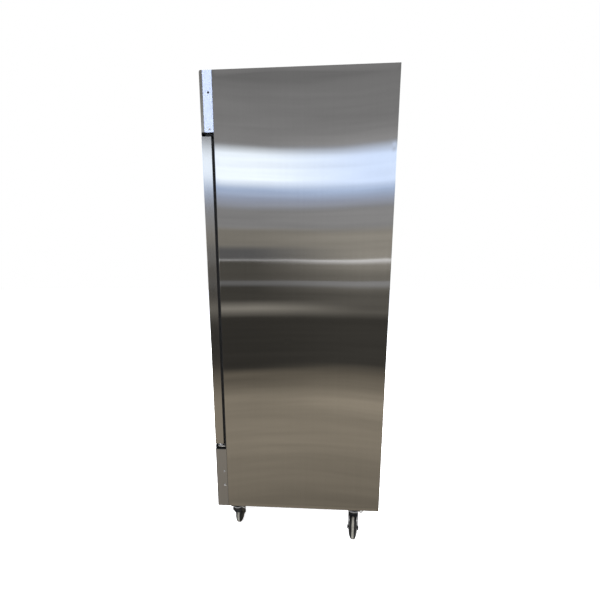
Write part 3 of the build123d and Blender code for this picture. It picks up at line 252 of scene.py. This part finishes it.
def make_lights():
    """One large overhead light and two soft side lights."""
    area_light("overhead", (0, 0, 6.0), (0, 0, 0), 7.0, 950, (1.0, 1.0, 1.0), False)
    area_light("right_soft", (4.5, -1.5, 3.2), (0, 0, 1.0), 2.5, 160, (0.93, 0.97, 1.0), False)
    area_light("left_soft", (-4.5, -2.5, 3.0), (0, 0, 1.0), 2.5, 160, (1.0, 0.98, 0.95), False)
    area_light("back_soft", (0.5, 5.0, 3.0), (0, 0, 1.0), 2.5, 120, (1.0, 1.0, 1.0), False)


# ---------------------------------------------------------------- materials
def new_material(name, colour, metallic, roughness):
    """A node material and its parts."""
    mat = bpy.data.materials.new(name)
    mat.use_nodes = True
    nodes, links = mat.node_tree.nodes, mat.node_tree.links
    shader = nodes["Principled BSDF"]
    shader.inputs["Base Color"].default_value = (*colour, 1)
    shader.inputs["Metallic"].default_value = metallic
    shader.inputs["Roughness"].default_value = roughness
    return mat, nodes, links, shader


def stretched_noise(nodes, links, scale, stretch, detail=4.0):
    """Noise over the object, drawn out along one axis."""
    place = nodes.new("ShaderNodeTexCoord")
    lay = nodes.new("ShaderNodeMapping")
    lay.inputs["Scale"].default_value = stretch
    grain = nodes.new("ShaderNodeTexNoise")
    grain.inputs["Scale"].default_value = scale
    grain.inputs["Detail"].default_value = detail
    grain.inputs["Roughness"].default_value = 0.6
    links.new(place.outputs["Object"], lay.inputs["Vector"])
    links.new(lay.outputs[0], grain.inputs["Vector"])
    return grain.outputs["Fac"]


def spread(nodes, links, source, low, high):
    """A value between low and high that follows a noise."""
    span = nodes.new("ShaderNodeMapRange")
    span.inputs["From Min"].default_value = 0.3
    span.inputs["From Max"].default_value = 0.7
    span.inputs["To Min"].default_value = low
    span.inputs["To Max"].default_value = high
    links.new(source, span.inputs["Value"])
    return span.outputs[0]


def shade(nodes, links, source, dark, light):
    """A colour between dark and light that follows a noise."""
    blend = nodes.new("ShaderNodeMix")
    blend.data_type = "RGBA"
    blend.inputs["A"].default_value = (*dark, 1)
    blend.inputs["B"].default_value = (*light, 1)
    links.new(spread(nodes, links, source, 0, 1), blend.inputs["Factor"])
    return blend.outputs["Result"]


def average(nodes, links, first, second):
    """The mean of two noises."""
    add = nodes.new("ShaderNodeMath")
    add.operation = "ADD"
    half = nodes.new("ShaderNodeMath")
    half.operation = "MULTIPLY"
    half.inputs[1].default_value = 0.5
    links.new(first, add.inputs[0])
    links.new(second, add.inputs[1])
    links.new(add.outputs[0], half.inputs[0])
    return half.outputs[0]


def bump(nodes, links, shader, source, strength, distance):
    """Raises the surface by a noise."""
    lift = nodes.new("ShaderNodeBump")
    lift.inputs["Strength"].default_value = strength
    lift.inputs["Distance"].default_value = distance
    links.new(source, lift.inputs["Height"])
    links.new(lift.outputs[0], shader.inputs["Normal"])


def brushed(name, colour, low, high, anisotropy, along="Z", contrast=0.035):
    """Brushed steel: fine grain along one axis, broad faint streaks and cloudy wear."""
    mat, nodes, links, shader = new_material(name, colour, 1.0, (low + high) / 2)
    fine = {"X": (4, 900, 900), "Y": (900, 4, 900), "Z": (900, 900, 4)}[along]
    wide = {"X": (1, 70, 70), "Y": (70, 1, 70), "Z": (70, 70, 1)}[along]
    grain = stretched_noise(nodes, links, 1.0, fine, 3.0)
    streaks = stretched_noise(nodes, links, 1.0, wide, 5.0)
    cloud = stretched_noise(nodes, links, 5.0, (1, 1, 1), 5.0)
    both = average(nodes, links, grain, streaks)
    worn = average(nodes, links, both, cloud)
    dark = tuple(c * (1 - contrast) for c in colour)
    light = tuple(min(1.0, c * (1 + contrast)) for c in colour)
    links.new(shade(nodes, links, both, dark, light), shader.inputs["Base Color"])
    links.new(spread(nodes, links, worn, low, high), shader.inputs["Roughness"])
    shader.inputs["Anisotropic"].default_value = anisotropy
    lie = nodes.new("ShaderNodeTangent")
    lie.direction_type = "RADIAL"
    lie.axis = "Z"
    links.new(lie.outputs[0], shader.inputs["Tangent"])
    bump(nodes, links, shader, grain, 0.06, 0.0002)
    return mat


def filmed(name, dark, light):
    """Satin sheet under a thin bluish film: half metal, half pale coat, with faint rub marks."""
    mat, nodes, links, shader = new_material(name, light, 0.45, 0.36)
    rubs = stretched_noise(nodes, links, 1.0, (18, 4, 7), 4.0)
    cloud = stretched_noise(nodes, links, 9.0, (1, 1, 1), 5.0)
    both = average(nodes, links, rubs, cloud)
    links.new(shade(nodes, links, both, dark, light), shader.inputs["Base Color"])
    links.new(spread(nodes, links, both, 0.30, 0.42), shader.inputs["Roughness"])
    bump(nodes, links, shader, cloud, 0.03, 0.0003)
    return mat


def mottled(name, dark, light, metallic, low, high, scale, rise=0.0005, strength=0.2, detail=6.0):
    """A surface whose colour, gloss and height vary in one fine-grained pattern."""
    mat, nodes, links, shader = new_material(name, light, metallic, (low + high) / 2)
    coarse = stretched_noise(nodes, links, scale * 0.15, (1, 1, 1), detail)
    fine = stretched_noise(nodes, links, scale, (1, 1, 1), detail)
    both = average(nodes, links, coarse, fine)
    links.new(shade(nodes, links, both, dark, light), shader.inputs["Base Color"])
    links.new(spread(nodes, links, coarse, low, high), shader.inputs["Roughness"])
    bump(nodes, links, shader, fine, strength, rise)
    return mat


def glowing(name, dark, light, strength):
    """A lit display segment, a little uneven."""
    mat, nodes, links, shader = new_material(name, light, 0, 0.4)
    cloud = stretched_noise(nodes, links, 300, (1, 1, 1))
    tone = shade(nodes, links, cloud, dark, light)
    links.new(tone, shader.inputs["Base Color"])
    links.new(tone, shader.inputs["Emission Color"])
    links.new(spread(nodes, links, cloud, 0.3, 0.5), shader.inputs["Roughness"])
    shader.inputs["Emission Strength"].default_value = strength
    return mat


def spangled(name, dark, light, low, high):
    """Hot-dip galvanised sheet with its crystal flakes."""
    mat, nodes, links, shader = new_material(name, light, 1.0, (low + high) / 2)
    place = nodes.new("ShaderNodeTexCoord")
    flakes = nodes.new("ShaderNodeTexVoronoi")
    flakes.inputs["Scale"].default_value = 90
    links.new(place.outputs["Object"], flakes.inputs["Vector"])
    tone = nodes.new("ShaderNodeSeparateColor")
    links.new(flakes.outputs["Color"], tone.inputs[0])
    cloud = stretched_noise(nodes, links, 12, (1, 1, 1))
    both = average(nodes, links, tone.outputs[0], cloud)
    links.new(shade(nodes, links, both, dark, light), shader.inputs["Base Color"])
    links.new(spread(nodes, links, both, low, high), shader.inputs["Roughness"])
    bump(nodes, links, shader, both, 0.1, 0.0002)
    return mat


def make_materials():
    """One material for each finish, by name."""
    return {
        "side_steel": brushed("side_steel", (0.70, 0.70, 0.70), 0.03, 0.06, 0.7, contrast=0.02),
        "grille_steel": brushed("grille_steel", (0.72, 0.75, 0.82), 0.24, 0.34, 0.6),
        "door_steel": brushed("door_steel", (0.72, 0.72, 0.72), 0.13, 0.19, 0.8, contrast=0.02),
        "facia_steel": filmed("facia_steel", (0.40, 0.455, 0.61), (0.43, 0.485, 0.64)),
        # The facia cover's warm cream tint is a painted reflection of the warm room below.
        "cover_steel": brushed("cover_steel", (0.60, 0.58, 0.53), 0.20, 0.30, 0.6),
        "frame_steel": brushed("frame_steel", (0.68, 0.68, 0.68), 0.18, 0.26, 0.7),
        "liner_steel": brushed("liner_steel", (0.66, 0.66, 0.66), 0.24, 0.34, 0.6),
        "galvanised": spangled("galvanised", (0.46, 0.47, 0.49), (0.66, 0.67, 0.69), 0.30, 0.48),
        "foam": mottled("foam", (0.62, 0.50, 0.28), (0.78, 0.66, 0.42), 0, 0.7, 0.9, 600),
        "zinc": mottled("zinc", (0.56, 0.56, 0.56), (0.74, 0.74, 0.73), 0.8, 0.24, 0.42, 260),
        # black_steel is real black steel on some parts, and painted shade on the caster plates and forks.
        "black_steel": mottled("black_steel", (0.004, 0.004, 0.0045), (0.012, 0.012, 0.013), 0, 0.38, 0.55, 700),
        "black_plastic": mottled("black_plastic", (0.012, 0.012, 0.013), (0.028, 0.028, 0.03), 0, 0.32, 0.5, 900),
        "grey_plastic": mottled("grey_plastic", (0.26, 0.26, 0.27), (0.36, 0.36, 0.37), 0, 0.4, 0.6, 900),
        "white_plastic": mottled("white_plastic", (0.36, 0.36, 0.35), (0.44, 0.44, 0.43), 0, 0.3, 0.5, 500),
        # gasket: the black rubber of the door seal, also used for the black strips that paint the shade in the
        # door gaps.
        "gasket": mottled("gasket", (0.003, 0.003, 0.003), (0.009, 0.009, 0.009), 0, 0.5, 0.75, 800),
        "wire": mottled("wire", (0.56, 0.56, 0.58), (0.74, 0.74, 0.75), 1, 0.16, 0.30, 300),
        "coil": mottled("coil", (0.50, 0.51, 0.52), (0.72, 0.73, 0.74), 1, 0.35, 0.55, 400),
        "copper": mottled("copper", (0.50, 0.22, 0.12), (0.83, 0.44, 0.28), 1, 0.25, 0.5, 120),
        "tyre": mottled("tyre", (0.004, 0.004, 0.004), (0.014, 0.0135, 0.013), 0, 0.55, 0.8, 500),
        # The tyre's crown: a lighter beige, partly tread wear and partly a painted highlight along the tread.
        "tread": mottled("tread", (0.07, 0.065, 0.053), (0.25, 0.235, 0.20), 0, 0.6, 0.9, 240),
        "digit": glowing("digit", (0.55, 0.02, 0.01), (0.80, 0.05, 0.02), 2.2),
        "mark": mottled("mark", (0.60, 0.60, 0.58), (0.78, 0.78, 0.76), 0, 0.4, 0.6, 900),
        "wheel_core": mottled("wheel_core", (0.008, 0.008, 0.0085), (0.02, 0.02, 0.021), 0, 0.4, 0.6, 600),
    }


BY_SLOT = {
    "stainless": "door_steel", "stainless_inner": "liner_steel", "galvanised": "galvanised", "foam": "foam",
    "zinc": "zinc", "black_steel": "black_steel", "black_plastic": "black_plastic",
    "grey_plastic": "grey_plastic", "white_plastic": "white_plastic", "gasket": "gasket", "wire": "wire",
    "coil": "coil", "copper": "copper", "wheel": "tyre",
}
BY_NODE = {
    "side_panel_right": "side_steel", "side_panel_left": "side_steel", "front_frame": "frame_steel",
    "facia_cover": "cover_steel", "facia_housing": "facia_steel", "lower_grille": "grille_steel",
    # The caster plates take black steel as painted shade for the dark under the cabinet.
    "caster_plates": "black_steel", "caster_bolts": "zinc", "top_hinge_bracket": "black_steel",
}


def dress_nodes(mats):
    """Gives every carried-over node its material."""
    slots = {}
    for part in frame["record"]["subparts"]:
        slots[part["node"]] = part["material_slot"]
    for name, obj in frame["nodes"].items():
        look = mats[BY_NODE.get(name) or BY_SLOT[slots[name]]]
        if not obj.material_slots:
            obj.data.materials.append(look)
        for place in obj.material_slots:
            place.material = look


# ---------------------------------------------------------------- pieces built here
def put(name, shape, looks, body, replaced=()):
    """Turns drawn faces into a piece that rides a body."""
    bmesh.ops.remove_doubles(shape, verts=shape.verts, dist=1e-7)
    bmesh.ops.recalc_face_normals(shape, faces=shape.faces)
    for face in shape.faces:
        face.smooth = True
    for edge in shape.edges:
        if len(edge.link_faces) == 2 and edge.calc_face_angle(0) > SHARP_EDGE:
            edge.smooth = False
    mesh = bpy.data.meshes.new(name)
    shape.to_mesh(mesh)
    shape.free()
    piece = bpy.data.objects.new(name, mesh)
    scene.collection.objects.link(piece)
    for look in looks:
        mesh.materials.append(look)
    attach(piece, body)
    for node in replaced:
        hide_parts(node)
    return piece


def skin(shape, loops, look=0, closed=True, capped=False):
    """Quads from one loop of points to the next."""
    rings = [[shape.verts.new(point) for point in loop] for loop in loops]
    for ring, after in zip(rings, rings[1:]):
        count = len(ring)
        for i in range(count if closed else count - 1):
            j = (i + 1) % count
            shape.faces.new((ring[i], ring[j], after[j], after[i])).material_index = look
    if capped:
        shape.faces.new(rings[0]).material_index = look
        shape.faces.new(rings[-1]).material_index = look
    return rings


def lathe(shape, profile, place, look=0, turns=48, capped=False):
    """Turns a profile of (radius, height) about the local Z axis."""
    loops = []
    for radius, height in profile:
        around = [2 * math.pi * k / turns for k in range(turns)]
        loops.append([place @ Vector((radius * math.cos(a), radius * math.sin(a), height)) for a in around])
    skin(shape, loops, look, capped=capped)


def plate(shape, outline, low, high, place, look=0, ease=0.0005):
    """An outline in local X and Y with a thickness along local Z and eased edges."""
    middle = sum((Vector(p) for p in outline), Vector((0, 0))) / len(outline)
    loops = []
    for height, draw in ((low, ease), (low + ease, 0), (high - ease, 0), (high, ease)):
        loop = []
        for point in outline:
            away = Vector(point) - middle
            x, y = middle + away * max(0.0, 1 - draw / max(away.length, 1e-6))
            loop.append(place @ Vector((x, y, height)))
        loops.append(loop)
    skin(shape, loops, look, capped=True)


def rounded(x0, x1, y0, y1, radius, steps=5):
    """A rectangle outline with round corners."""
    points = []
    for cx, cy, start in ((x1 - radius, y0 + radius, -90), (x1 - radius, y1 - radius, 0),
                          (x0 + radius, y1 - radius, 90), (x0 + radius, y0 + radius, 180)):
        for k in range(steps + 1):
            a = math.radians(start + 90 * k / steps)
            points.append((cx + radius * math.cos(a), cy + radius * math.sin(a)))
    return points


def hull(points):
    """The convex outline round a set of points."""
    def half(ordered):
        chain = []
        for p in ordered:
            while len(chain) > 1:
                a, b = chain[-2], chain[-1]
                if (b[0] - a[0]) * (p[1] - a[1]) - (b[1] - a[1]) * (p[0] - a[0]) > 1e-12:
                    break
                chain.pop()
            chain.append(p)
        return chain[:-1]

    ordered = sorted(set(points))
    return half(ordered) + half(ordered[::-1])


def circle_points(x, y, radius, steps=28):
    """Points round a circle."""
    around = [2 * math.pi * k / steps for k in range(steps)]
    return [(x + radius * math.cos(a), y + radius * math.sin(a)) for a in around]


def near(y, z, at_y, at_z, wide, tall):
    """A smooth spot: one at its centre, nought far away."""
    return math.exp(-(((y - at_y) / wide) ** 2) - ((z - at_z) / tall) ** 2)


def dishing(y, z, side):
    """How far the thin side sheet lies inward at a spot, in metres."""
    roll = noise.noise(Vector((y * 2.6, z * 2.0, 3.0 + side)))
    ripple = noise.noise(Vector((y * 7.0, z * 5.0, 9.0 + side)))
    depth = 0.00055 * (roll + 0.8) + 0.00004 * (ripple + 0.8)
    ring = math.hypot((y + 0.042) / 0.009, (z - 0.959) / 0.006)
    depth += 0.0003 * math.exp(-((ring - 1.0) / 0.35) ** 2)
    depth += 0.0003 * near(y, z, 0.381, 1.744, 0.005, 0.010)
    for at_y, wide in ((0.268, 0.012), (0.312, 0.02), (0.356, 0.008)):
        depth += 0.00008 * near(y, z, at_y, 0.955, wide, 0.004)
    edge = min(y - FRAME_FRONT - SHEET_BEND, BACK - SHEET_BEND - y, z - BASE, TOP - z) / EASE_RUN
    ease = min(1.0, max(0.0, edge))
    return max(0.0, depth) * ease * ease * (3 - 2 * ease)


def side_sheet(hand, side, mats):
    """A side panel: one thin sheet with rounded front and rear returns and a slightly uneven face."""
    bend, gauge, front, back, half = SHEET_BEND, SHEET_GAUGE, FRAME_FRONT, BACK, HALF_WIDTH
    run = back - front - 2 * bend
    flat = [front + bend + run * k / SHEET_COLUMNS for k in range(SHEET_COLUMNS + 1)]
    path = [((half - FRONT_RETURN, front), (0, -1)), ((half - bend, front), (0, -1))]
    for k in range(1, 5):
        a = math.radians(-90 + 90 * k / 5)
        path.append(((half - bend + bend * math.cos(a), front + bend + bend * math.sin(a)),
                     (math.cos(a), math.sin(a))))
    path += [((half, y), (1, 0)) for y in flat]
    for k in range(1, 5):
        a = math.radians(90 * k / 5)
        path.append(((half - bend + bend * math.cos(a), back - bend + bend * math.sin(a)),
                     (math.cos(a), math.sin(a))))
    path += [((half - bend, back), (0, 1)), ((half - BACK_RETURN, back), (0, 1))]
    loops = []
    for row in range(SHEET_ROWS + 1):
        z = BASE + (TOP - BASE) * row / SHEET_ROWS
        outer, inner = [], []
        for (x, y), (nx, ny) in path:
            drawn = dishing(y, z, side) if nx == 1 else 0.0
            outer.append((side * (x - drawn), y, z))
            inner.append((side * (x - drawn - gauge * nx), y - gauge * ny, z))
        loops.append(outer + inner[::-1])
    shape = bmesh.new()
    skin(shape, loops, capped=True)
    put("sheet_" + hand, shape, [mats["side_steel"]], "cabinet", ["side_panel_" + hand])


def door_seal(mats):
    """The bellows gasket: a retained base, two folds, a flat magnet face and a wide outer lip. The lip reaches
    out towards the panel edges so that its black also paints the shade in the door gap.
    """
    section = (
        (-20, -350), (-6, -350), (18.5, -350), (18.5, -346), (17.2, -344.4), (14, -343.8), (4, -343.4),
        (0.4, -342.4), (-1.6, -341.4), (0, -340.2), (0, -339), (-0.8, -338.5), (-19.2, -338.5),
        (-20, -339), (-20, -340.4), (-18, -341.6), (-20, -343), (-20, -345), (-18.5, -346.6), (-20, -348),
    )
    loops = []
    for out, y in section:
        rise = out * 0.4 if out > 0 else out
        ring = rounded(-326 - out, 326 + out, 473 - rise, 1787 + rise, max(1.5, 7 + out * 0.27), 6)
        loops.append([(x * MM, y * MM, z * MM) for x, z in ring])
    shape = bmesh.new()
    skin(shape, loops + loops[:1])
    put("door_seal", shape, [mats["gasket"]], "door", ["door_gasket"])


def facia_seal(mats):
    """Painted shade: a black strip and wiper under the facia that fill the gap above the door with black, where
    it only lies in shade.
    """
    shape = bmesh.new()
    flat = Matrix.Identity(4)
    for x0, x1, back in ((-347, -264.5, -345), (-264.5, -203.5, -377), (-203.5, 347, -345)):
        spans = [(x0 * MM, -388.6 * MM), (x1 * MM, -388.6 * MM), (x1 * MM, back * MM), (x0 * MM, back * MM)]
        plate(shape, spans, 1.8112, 1.8128, flat, 0, 0.0003)
    lip = [(-389.2, 1812.8), (-389.4, 1806), (-388.6, 1800.6), (-387.4, 1799.7), (-386.4, 1800.6),
           (-386.2, 1806), (-385.4, 1811), (-385.0, 1812.8)]
    ends = []
    for k in range(41):
        x = -346.5 + 693 * k / 40
        ends.append([(x * MM, y * MM, z * MM) for y, z in lip])
    skin(shape, ends, capped=True)
    # This black stands in for the shade in the gap above the door.
    put("facia_seal", shape, [mats["gasket"]], "cabinet")


def axle_of(place):
    """A caster's axle, with its length along local Z."""
    return place @ Matrix.Translation((TRAIL * MM, 0, WHEEL_R * MM)) @ Matrix.Rotation(math.pi / 2, 4, "X")


def wheel(corner, place, mats):
    """A crowned tyre with a lighter crown, domed covers and a hub. The crown's lighter beige is partly tread wear
    and partly a painted highlight.
    """
    shape = bmesh.new()
    half = [(BORE_R, HUB_HALF), (8.5, HUB_HALF), (9.6, 19.1), (12.0, 19.2), (18, 19.1), (24, 18.5), (29, 17.5),
            (33, 16.4), (34.6, 15.9), (35.2, 15.0)]
    side_wall = [(35.2, 15.0), (36.2, 15.2), (40, 13.8), (44, 11.8), (47, 9.4), (49.0, 6.8), (49.6, 5.0)]
    crown = [(49.6, 5.0), (49.85, 3.6), (49.97, 2.0), (WHEEL_R, 0.0), (49.97, -2.0), (49.85, -3.6), (49.6, -5.0)]
    for sign in (1, -1):
        lathe(shape, [(r * MM, sign * y * MM) for r, y in half], place, 2, 72)
        lathe(shape, [(r * MM, sign * y * MM) for r, y in side_wall], place, 0, 72)
    # The crown takes the lighter tread colour: partly wear, partly painted highlight.
    lathe(shape, [(r * MM, y * MM) for r, y in crown], place, 1, 72)
    lathe(shape, [(BORE_R * MM, HUB_HALF * MM), (BORE_R * MM, -HUB_HALF * MM)], place, 2, 72)
    for sign in (1, -1):
        for k in range(5):
            turn = Matrix.Rotation(2 * math.pi * k / 5, 4, "Z")
            low, high = (17.0, 19.3) if sign > 0 else (-19.3, -17.0)
            plate(shape, [(x * MM, y * MM) for x, y in rounded(13.5, 21.5, -1.6, 1.6, 1.2, 3)],
                  low * MM, high * MM, place @ turn, 2, 0.0003)
    put("wheel_" + corner + "_tyre", shape, [mats["tyre"], mats["tread"], mats["wheel_core"]],
        "wheel_" + corner, ["caster_wheel_" + corner])


def fork(corner, place, braked, mats):
    """A swivel yoke: zinc race, crown and axle, two black tapered legs, a black lower plate, aprons and hood, and
    low black axle caps. That black is painted shade for the dark under the cabinet on a fork that is zinc.
    """
    shape = bmesh.new()
    spots = circle_points(TRAIL, WHEEL_R, 11.5) + circle_points(-16, 108.5, 7) + circle_points(19, 108.5, 7)
    if braked:
        spots += circle_points(90, 97, 7.5)
    outline = [(x * MM, z * MM) for x, z in hull(spots)]
    upright = place @ Matrix.Rotation(math.pi / 2, 4, "X")
    for low, high in ((-YOKE_OUTSIDE, -YOKE_INSIDE), (YOKE_INSIDE, YOKE_OUTSIDE)):
        plate(shape, outline, low * MM, high * MM, upright, 0, 0.0007)
    crown = [(x * MM, y * MM) for x, y in rounded(-22.5, 25, -21.5, 21.5, 12)]
    plate(shape, crown, 0.1162, YOKE_TOP * MM, place, 1, 0.0006)
    apron = [(y * MM, z * MM) for y, z in rounded(-20.6, 20.6, 101.8, 116.4, 1.5, 3)]
    facing_trail = place @ Matrix(((0, 0, 1, 0), (1, 0, 0, 0), (0, 1, 0, 0), (0, 0, 0, 1)))
    for low, high in ((0.0235, 0.0258), (-0.0225, -0.0202)):
        plate(shape, apron, low, high, facing_trail, 0)
    plate(shape, [(x * MM, y * MM) for x, y in rounded(-22, 25.5, -20.6, 20.6, 4)], 0.1135, 0.1163, place, 0)
    hood = []
    for k in range(19):
        a = math.radians(96 + (52 if braked else 90) * k / 18)
        wide = 20.3 - (9.0 if braked else 1.5) * (k / 18) ** 2
        ring = [(r, y) for r, y in ((53.2, -wide), (54.6, -wide), (54.6, wide), (53.2, wide))]
        hood.append([place @ Vector(((TRAIL + r * math.cos(a)) * MM, y * MM, (WHEEL_R + r * math.sin(a)) * MM))
                     for r, y in ring])
    skin(shape, hood, 0, capped=True)
    race = [(12.4, 118), (12.4, 125), (17.2, 125), (18.8, 124), (19, 121.4), (25.4, 120.6), (26, 119.6),
            (26, 116.4), (25, 116), (12.4, 116)]
    lathe(shape, [(r * MM, z * MM) for r, z in race], place, 1)
    axle = axle_of(place)
    cap = [(5.0, 19.0), (5.0, 22.9), (9.6, 22.9), (9.4, 24.4), (8.2, 25.6), (5.6, 26.4), (2.4, 26.8),
           (0.05, 26.9)]
    for sign in (1, -1):
        lathe(shape, [(r * MM, sign * y * MM) for r, y in cap], axle, 0, 32)
    lathe(shape, [(5.0 * MM, -19.5 * MM), (5.0 * MM, 19.5 * MM)], axle, 1, 32)
    # Material 0 is the black that paints the shade on the fork; material 1 is its zinc.
    put("fork_" + corner, shape, [mats["black_steel"], mats["zinc"]], "caster_" + corner,
        ["caster_fork_" + corner])


def casters(mats):
    """Four casters, the front two with room for their brake arms."""
    for corner, x, y, turn, braked in CASTERS:
        place = Matrix.Translation((x, y, 0)) @ Matrix.Rotation(math.radians(turn), 4, "Z")
        wheel(corner, axle_of(place), mats)
        fork(corner, place, braked, mats)


def lashing_eyes(mats):
    """A bright rolled rim on each lashing eye beside a caster."""
    shape = bmesh.new()
    rim = [(6.5, -2.2), (9.2, -2.2), (9.45, 0), (9.2, 2.2), (6.5, 2.2), (6.3, 0), (6.5, -2.2)]
    for side in (-1, 1):
        for y in (-0.263, 0.308):
            place = Matrix.Translation((side * 0.338, y, 0.1255)) @ Matrix.Rotation(math.pi / 2, 4, "Y")
            lathe(shape, [(r * MM, x * MM) for r, x in rim], place, 0, 40)
    put("lashing_eyes", shape, [mats["zinc"]], "cabinet")


def gap_seals(mats):
    """Painted shade: black beads on the frame behind the door's edges, and a black mat and lip on top of the
    lower grille, that fill the gaps with black where they only lie in shade.
    """
    shape = bmesh.new()
    bead = [(343.5, -337.9), (343.5, -341.6), (344.4, -343.0), (345.8, -343.2), (347.2, -342.4),
            (347.7, -340.6), (347.6, -338.2), (347.0, -337.9)]
    for side in (-1, 1):
        loops = [[(side * x * MM, y * MM, (436.4 + 1374.4 * k / 60) * MM) for x, y in bead] for k in range(61)]
        skin(shape, loops, capped=True)
    mat = [(x * MM, y * MM) for x, y in rounded(-346.6, 346.6, -388.4, -343.6, 4)]
    plate(shape, mat, 0.43415, 0.4354, Matrix.Identity(4), 0, 0.0003)
    # A black lip that paints the shade in the gap under the door.
    lip = [(-388.9, 435.2), (-388.9, 450), (-388.2, 456.6), (-387.4, 457.6), (-386.6, 456.6), (-386.0, 450),
           (-385.6, 435.2)]
    loops = [[((-346 + 692 * k / 40) * MM, y * MM, z * MM) for y, z in lip] for k in range(41)]
    skin(shape, loops, capped=True)
    put("gap_seals", shape, [mats["gasket"]], "cabinet")


def screw_head(shape, place, look):
    """A low round head with a cross recess."""
    turns, steps = 64, 14
    loops = []
    for step in range(steps + 1):
        radius = SCREW_HEAD_R * max(0.01, 1 - step / steps)
        loop = []
        for k in range(turns):
            a = 2 * math.pi * k / turns
            u, v = radius * math.cos(a), radius * math.sin(a)
            dome = 1.8 * math.sqrt(max(0.0, 1 - (radius / 4.4) ** 2)) ** 0.8
            arm = min(max(abs(u) / 0.55, abs(v) / 2.4), max(abs(v) / 0.55, abs(u) / 2.4))
            sunk = 1.1 if arm < 1 else 0.0
            loop.append(place @ Vector((u * MM, v * MM, max(0.05, dome - sunk) * MM)))
        loops.append(loop)
    skin(shape, loops, look)
    shank = [(2.0, -9.0), (2.0, 0.02), (SCREW_HEAD_R, 0.02), (SCREW_HEAD_R, 0.4)]
    lathe(shape, [(r * MM, h * MM) for r, h in shank], place, look, 32)


def screws(mats):
    """Every panel screw, on both sides and across the back."""
    shape = bmesh.new()
    for side in (-1, 1):
        face = Matrix.Rotation(side * math.pi / 2, 4, "Y")
        for y, z, look in SIDE_SCREWS:
            screw_head(shape, Matrix.Translation((side * HALF_WIDTH, y, z)) @ face, look)
    for x in REAR_SCREW_X:
        for z in REAR_SCREW_Z:
            seat = Matrix.Translation((x, BACK - SHEET_GAUGE, z)) @ Matrix.Rotation(-math.pi / 2, 4, "X")
            screw_head(shape, seat @ Matrix.Scale(0.55, 4, (0, 0, 1)), 0)
    put("cross_screws", shape, [mats["zinc"], mats["black_steel"]], "cabinet", ["panel_screws"])


SEGMENTS = {
    "a": ((-4, 8), (4, 8)), "b": ((4, 8), (4, 0)), "c": ((4, 0), (4, -8)), "d": ((-4, -8), (4, -8)),
    "e": ((-4, 0), (-4, -8)), "f": ((-4, 8), (-4, 0)), "g": ((-4, 0), (4, 0)),
}


def display(mats):
    """Two seven-segment digits and three small marks on the keys."""
    shape = bmesh.new()
    face = Matrix.Translation((0, DISPLAY_FLOOR_Y, 0)) @ Matrix.Rotation(math.pi / 2, 4, "X")
    for middle, lit in ((-0.036, "abcdef"), (-0.018, "abgcd")):
        for bar in lit:
            start, end = (Vector(p) for p in SEGMENTS[bar])
            run = (end - start).normalized()
            across = Vector((-run.y, run.x))
            first, last = start + run * 0.7, end - run * 0.7
            corners = [first, first + run + across, last - run + across, last, last - run - across,
                       first + run - across]
            outline = [(middle + (p.x + p.y * 0.12) * MM, CONTROLS_Z + p.y * MM) for p in corners]
            plate(shape, outline, 0.0, 0.0003, face, 0, 0.0001)
    put("display_digits", shape, [mats["digit"]], "cabinet")
    for body, x, outline in (("key_up", 0.031, [(-2.6, -2), (2.6, -2), (0, 2.6)]),
                             ("key_down", 0.048, [(-2.6, 2), (0, -2.6), (2.6, 2)]),
                             ("key_set", 0.014, circle_points(0, 0, 2.0, 20))):
        mark = bmesh.new()
        at = Matrix.Translation((x, KEY_FACE_Y, CONTROLS_Z)) @ Matrix.Rotation(math.pi / 2, 4, "X")
        plate(mark, [(u * MM, v * MM) for u, v in outline], 0.0, 0.00025, at, 0, 0.0001)
        put(body + "_mark", mark, [mats["mark"]], body)


def make_pieces(mats):
    """Everything this script adds to the carried-over nodes."""
    side_sheet("left", -1, mats)
    side_sheet("right", 1, mats)
    door_seal(mats)
    facia_seal(mats)
    gap_seals(mats)
    casters(mats)
    lashing_eyes(mats)
    screws(mats)
    display(mats)


def make_floor(mats):
    """A plain pale floor."""
    mesh = bpy.data.meshes.new("floor")
    shape = bmesh.new()
    bmesh.ops.create_grid(shape, x_segments=8, y_segments=8, size=40)
    shape.to_mesh(mesh)
    shape.free()
    floor = bpy.data.objects.new("floor", mesh)
    scene.collection.objects.link(floor)
    look = mottled("floor", (0.93, 0.93, 0.93), (0.96, 0.96, 0.96), 0, 0.8, 0.9, 30)
    surface = look.node_tree.nodes["Principled BSDF"]
    surface.inputs["Emission Color"].default_value = (1, 1, 1, 1)
    surface.inputs["Emission Strength"].default_value = 0.8
    mesh.materials.append(look)
    floor.visible_glossy = False


scene.view_settings.view_transform = "Standard"
scene.view_settings.look = "None"
make_camera()
make_world()
make_lights()
materials = make_materials()
dress_nodes(materials)
make_pieces(materials)
make_floor(materials)
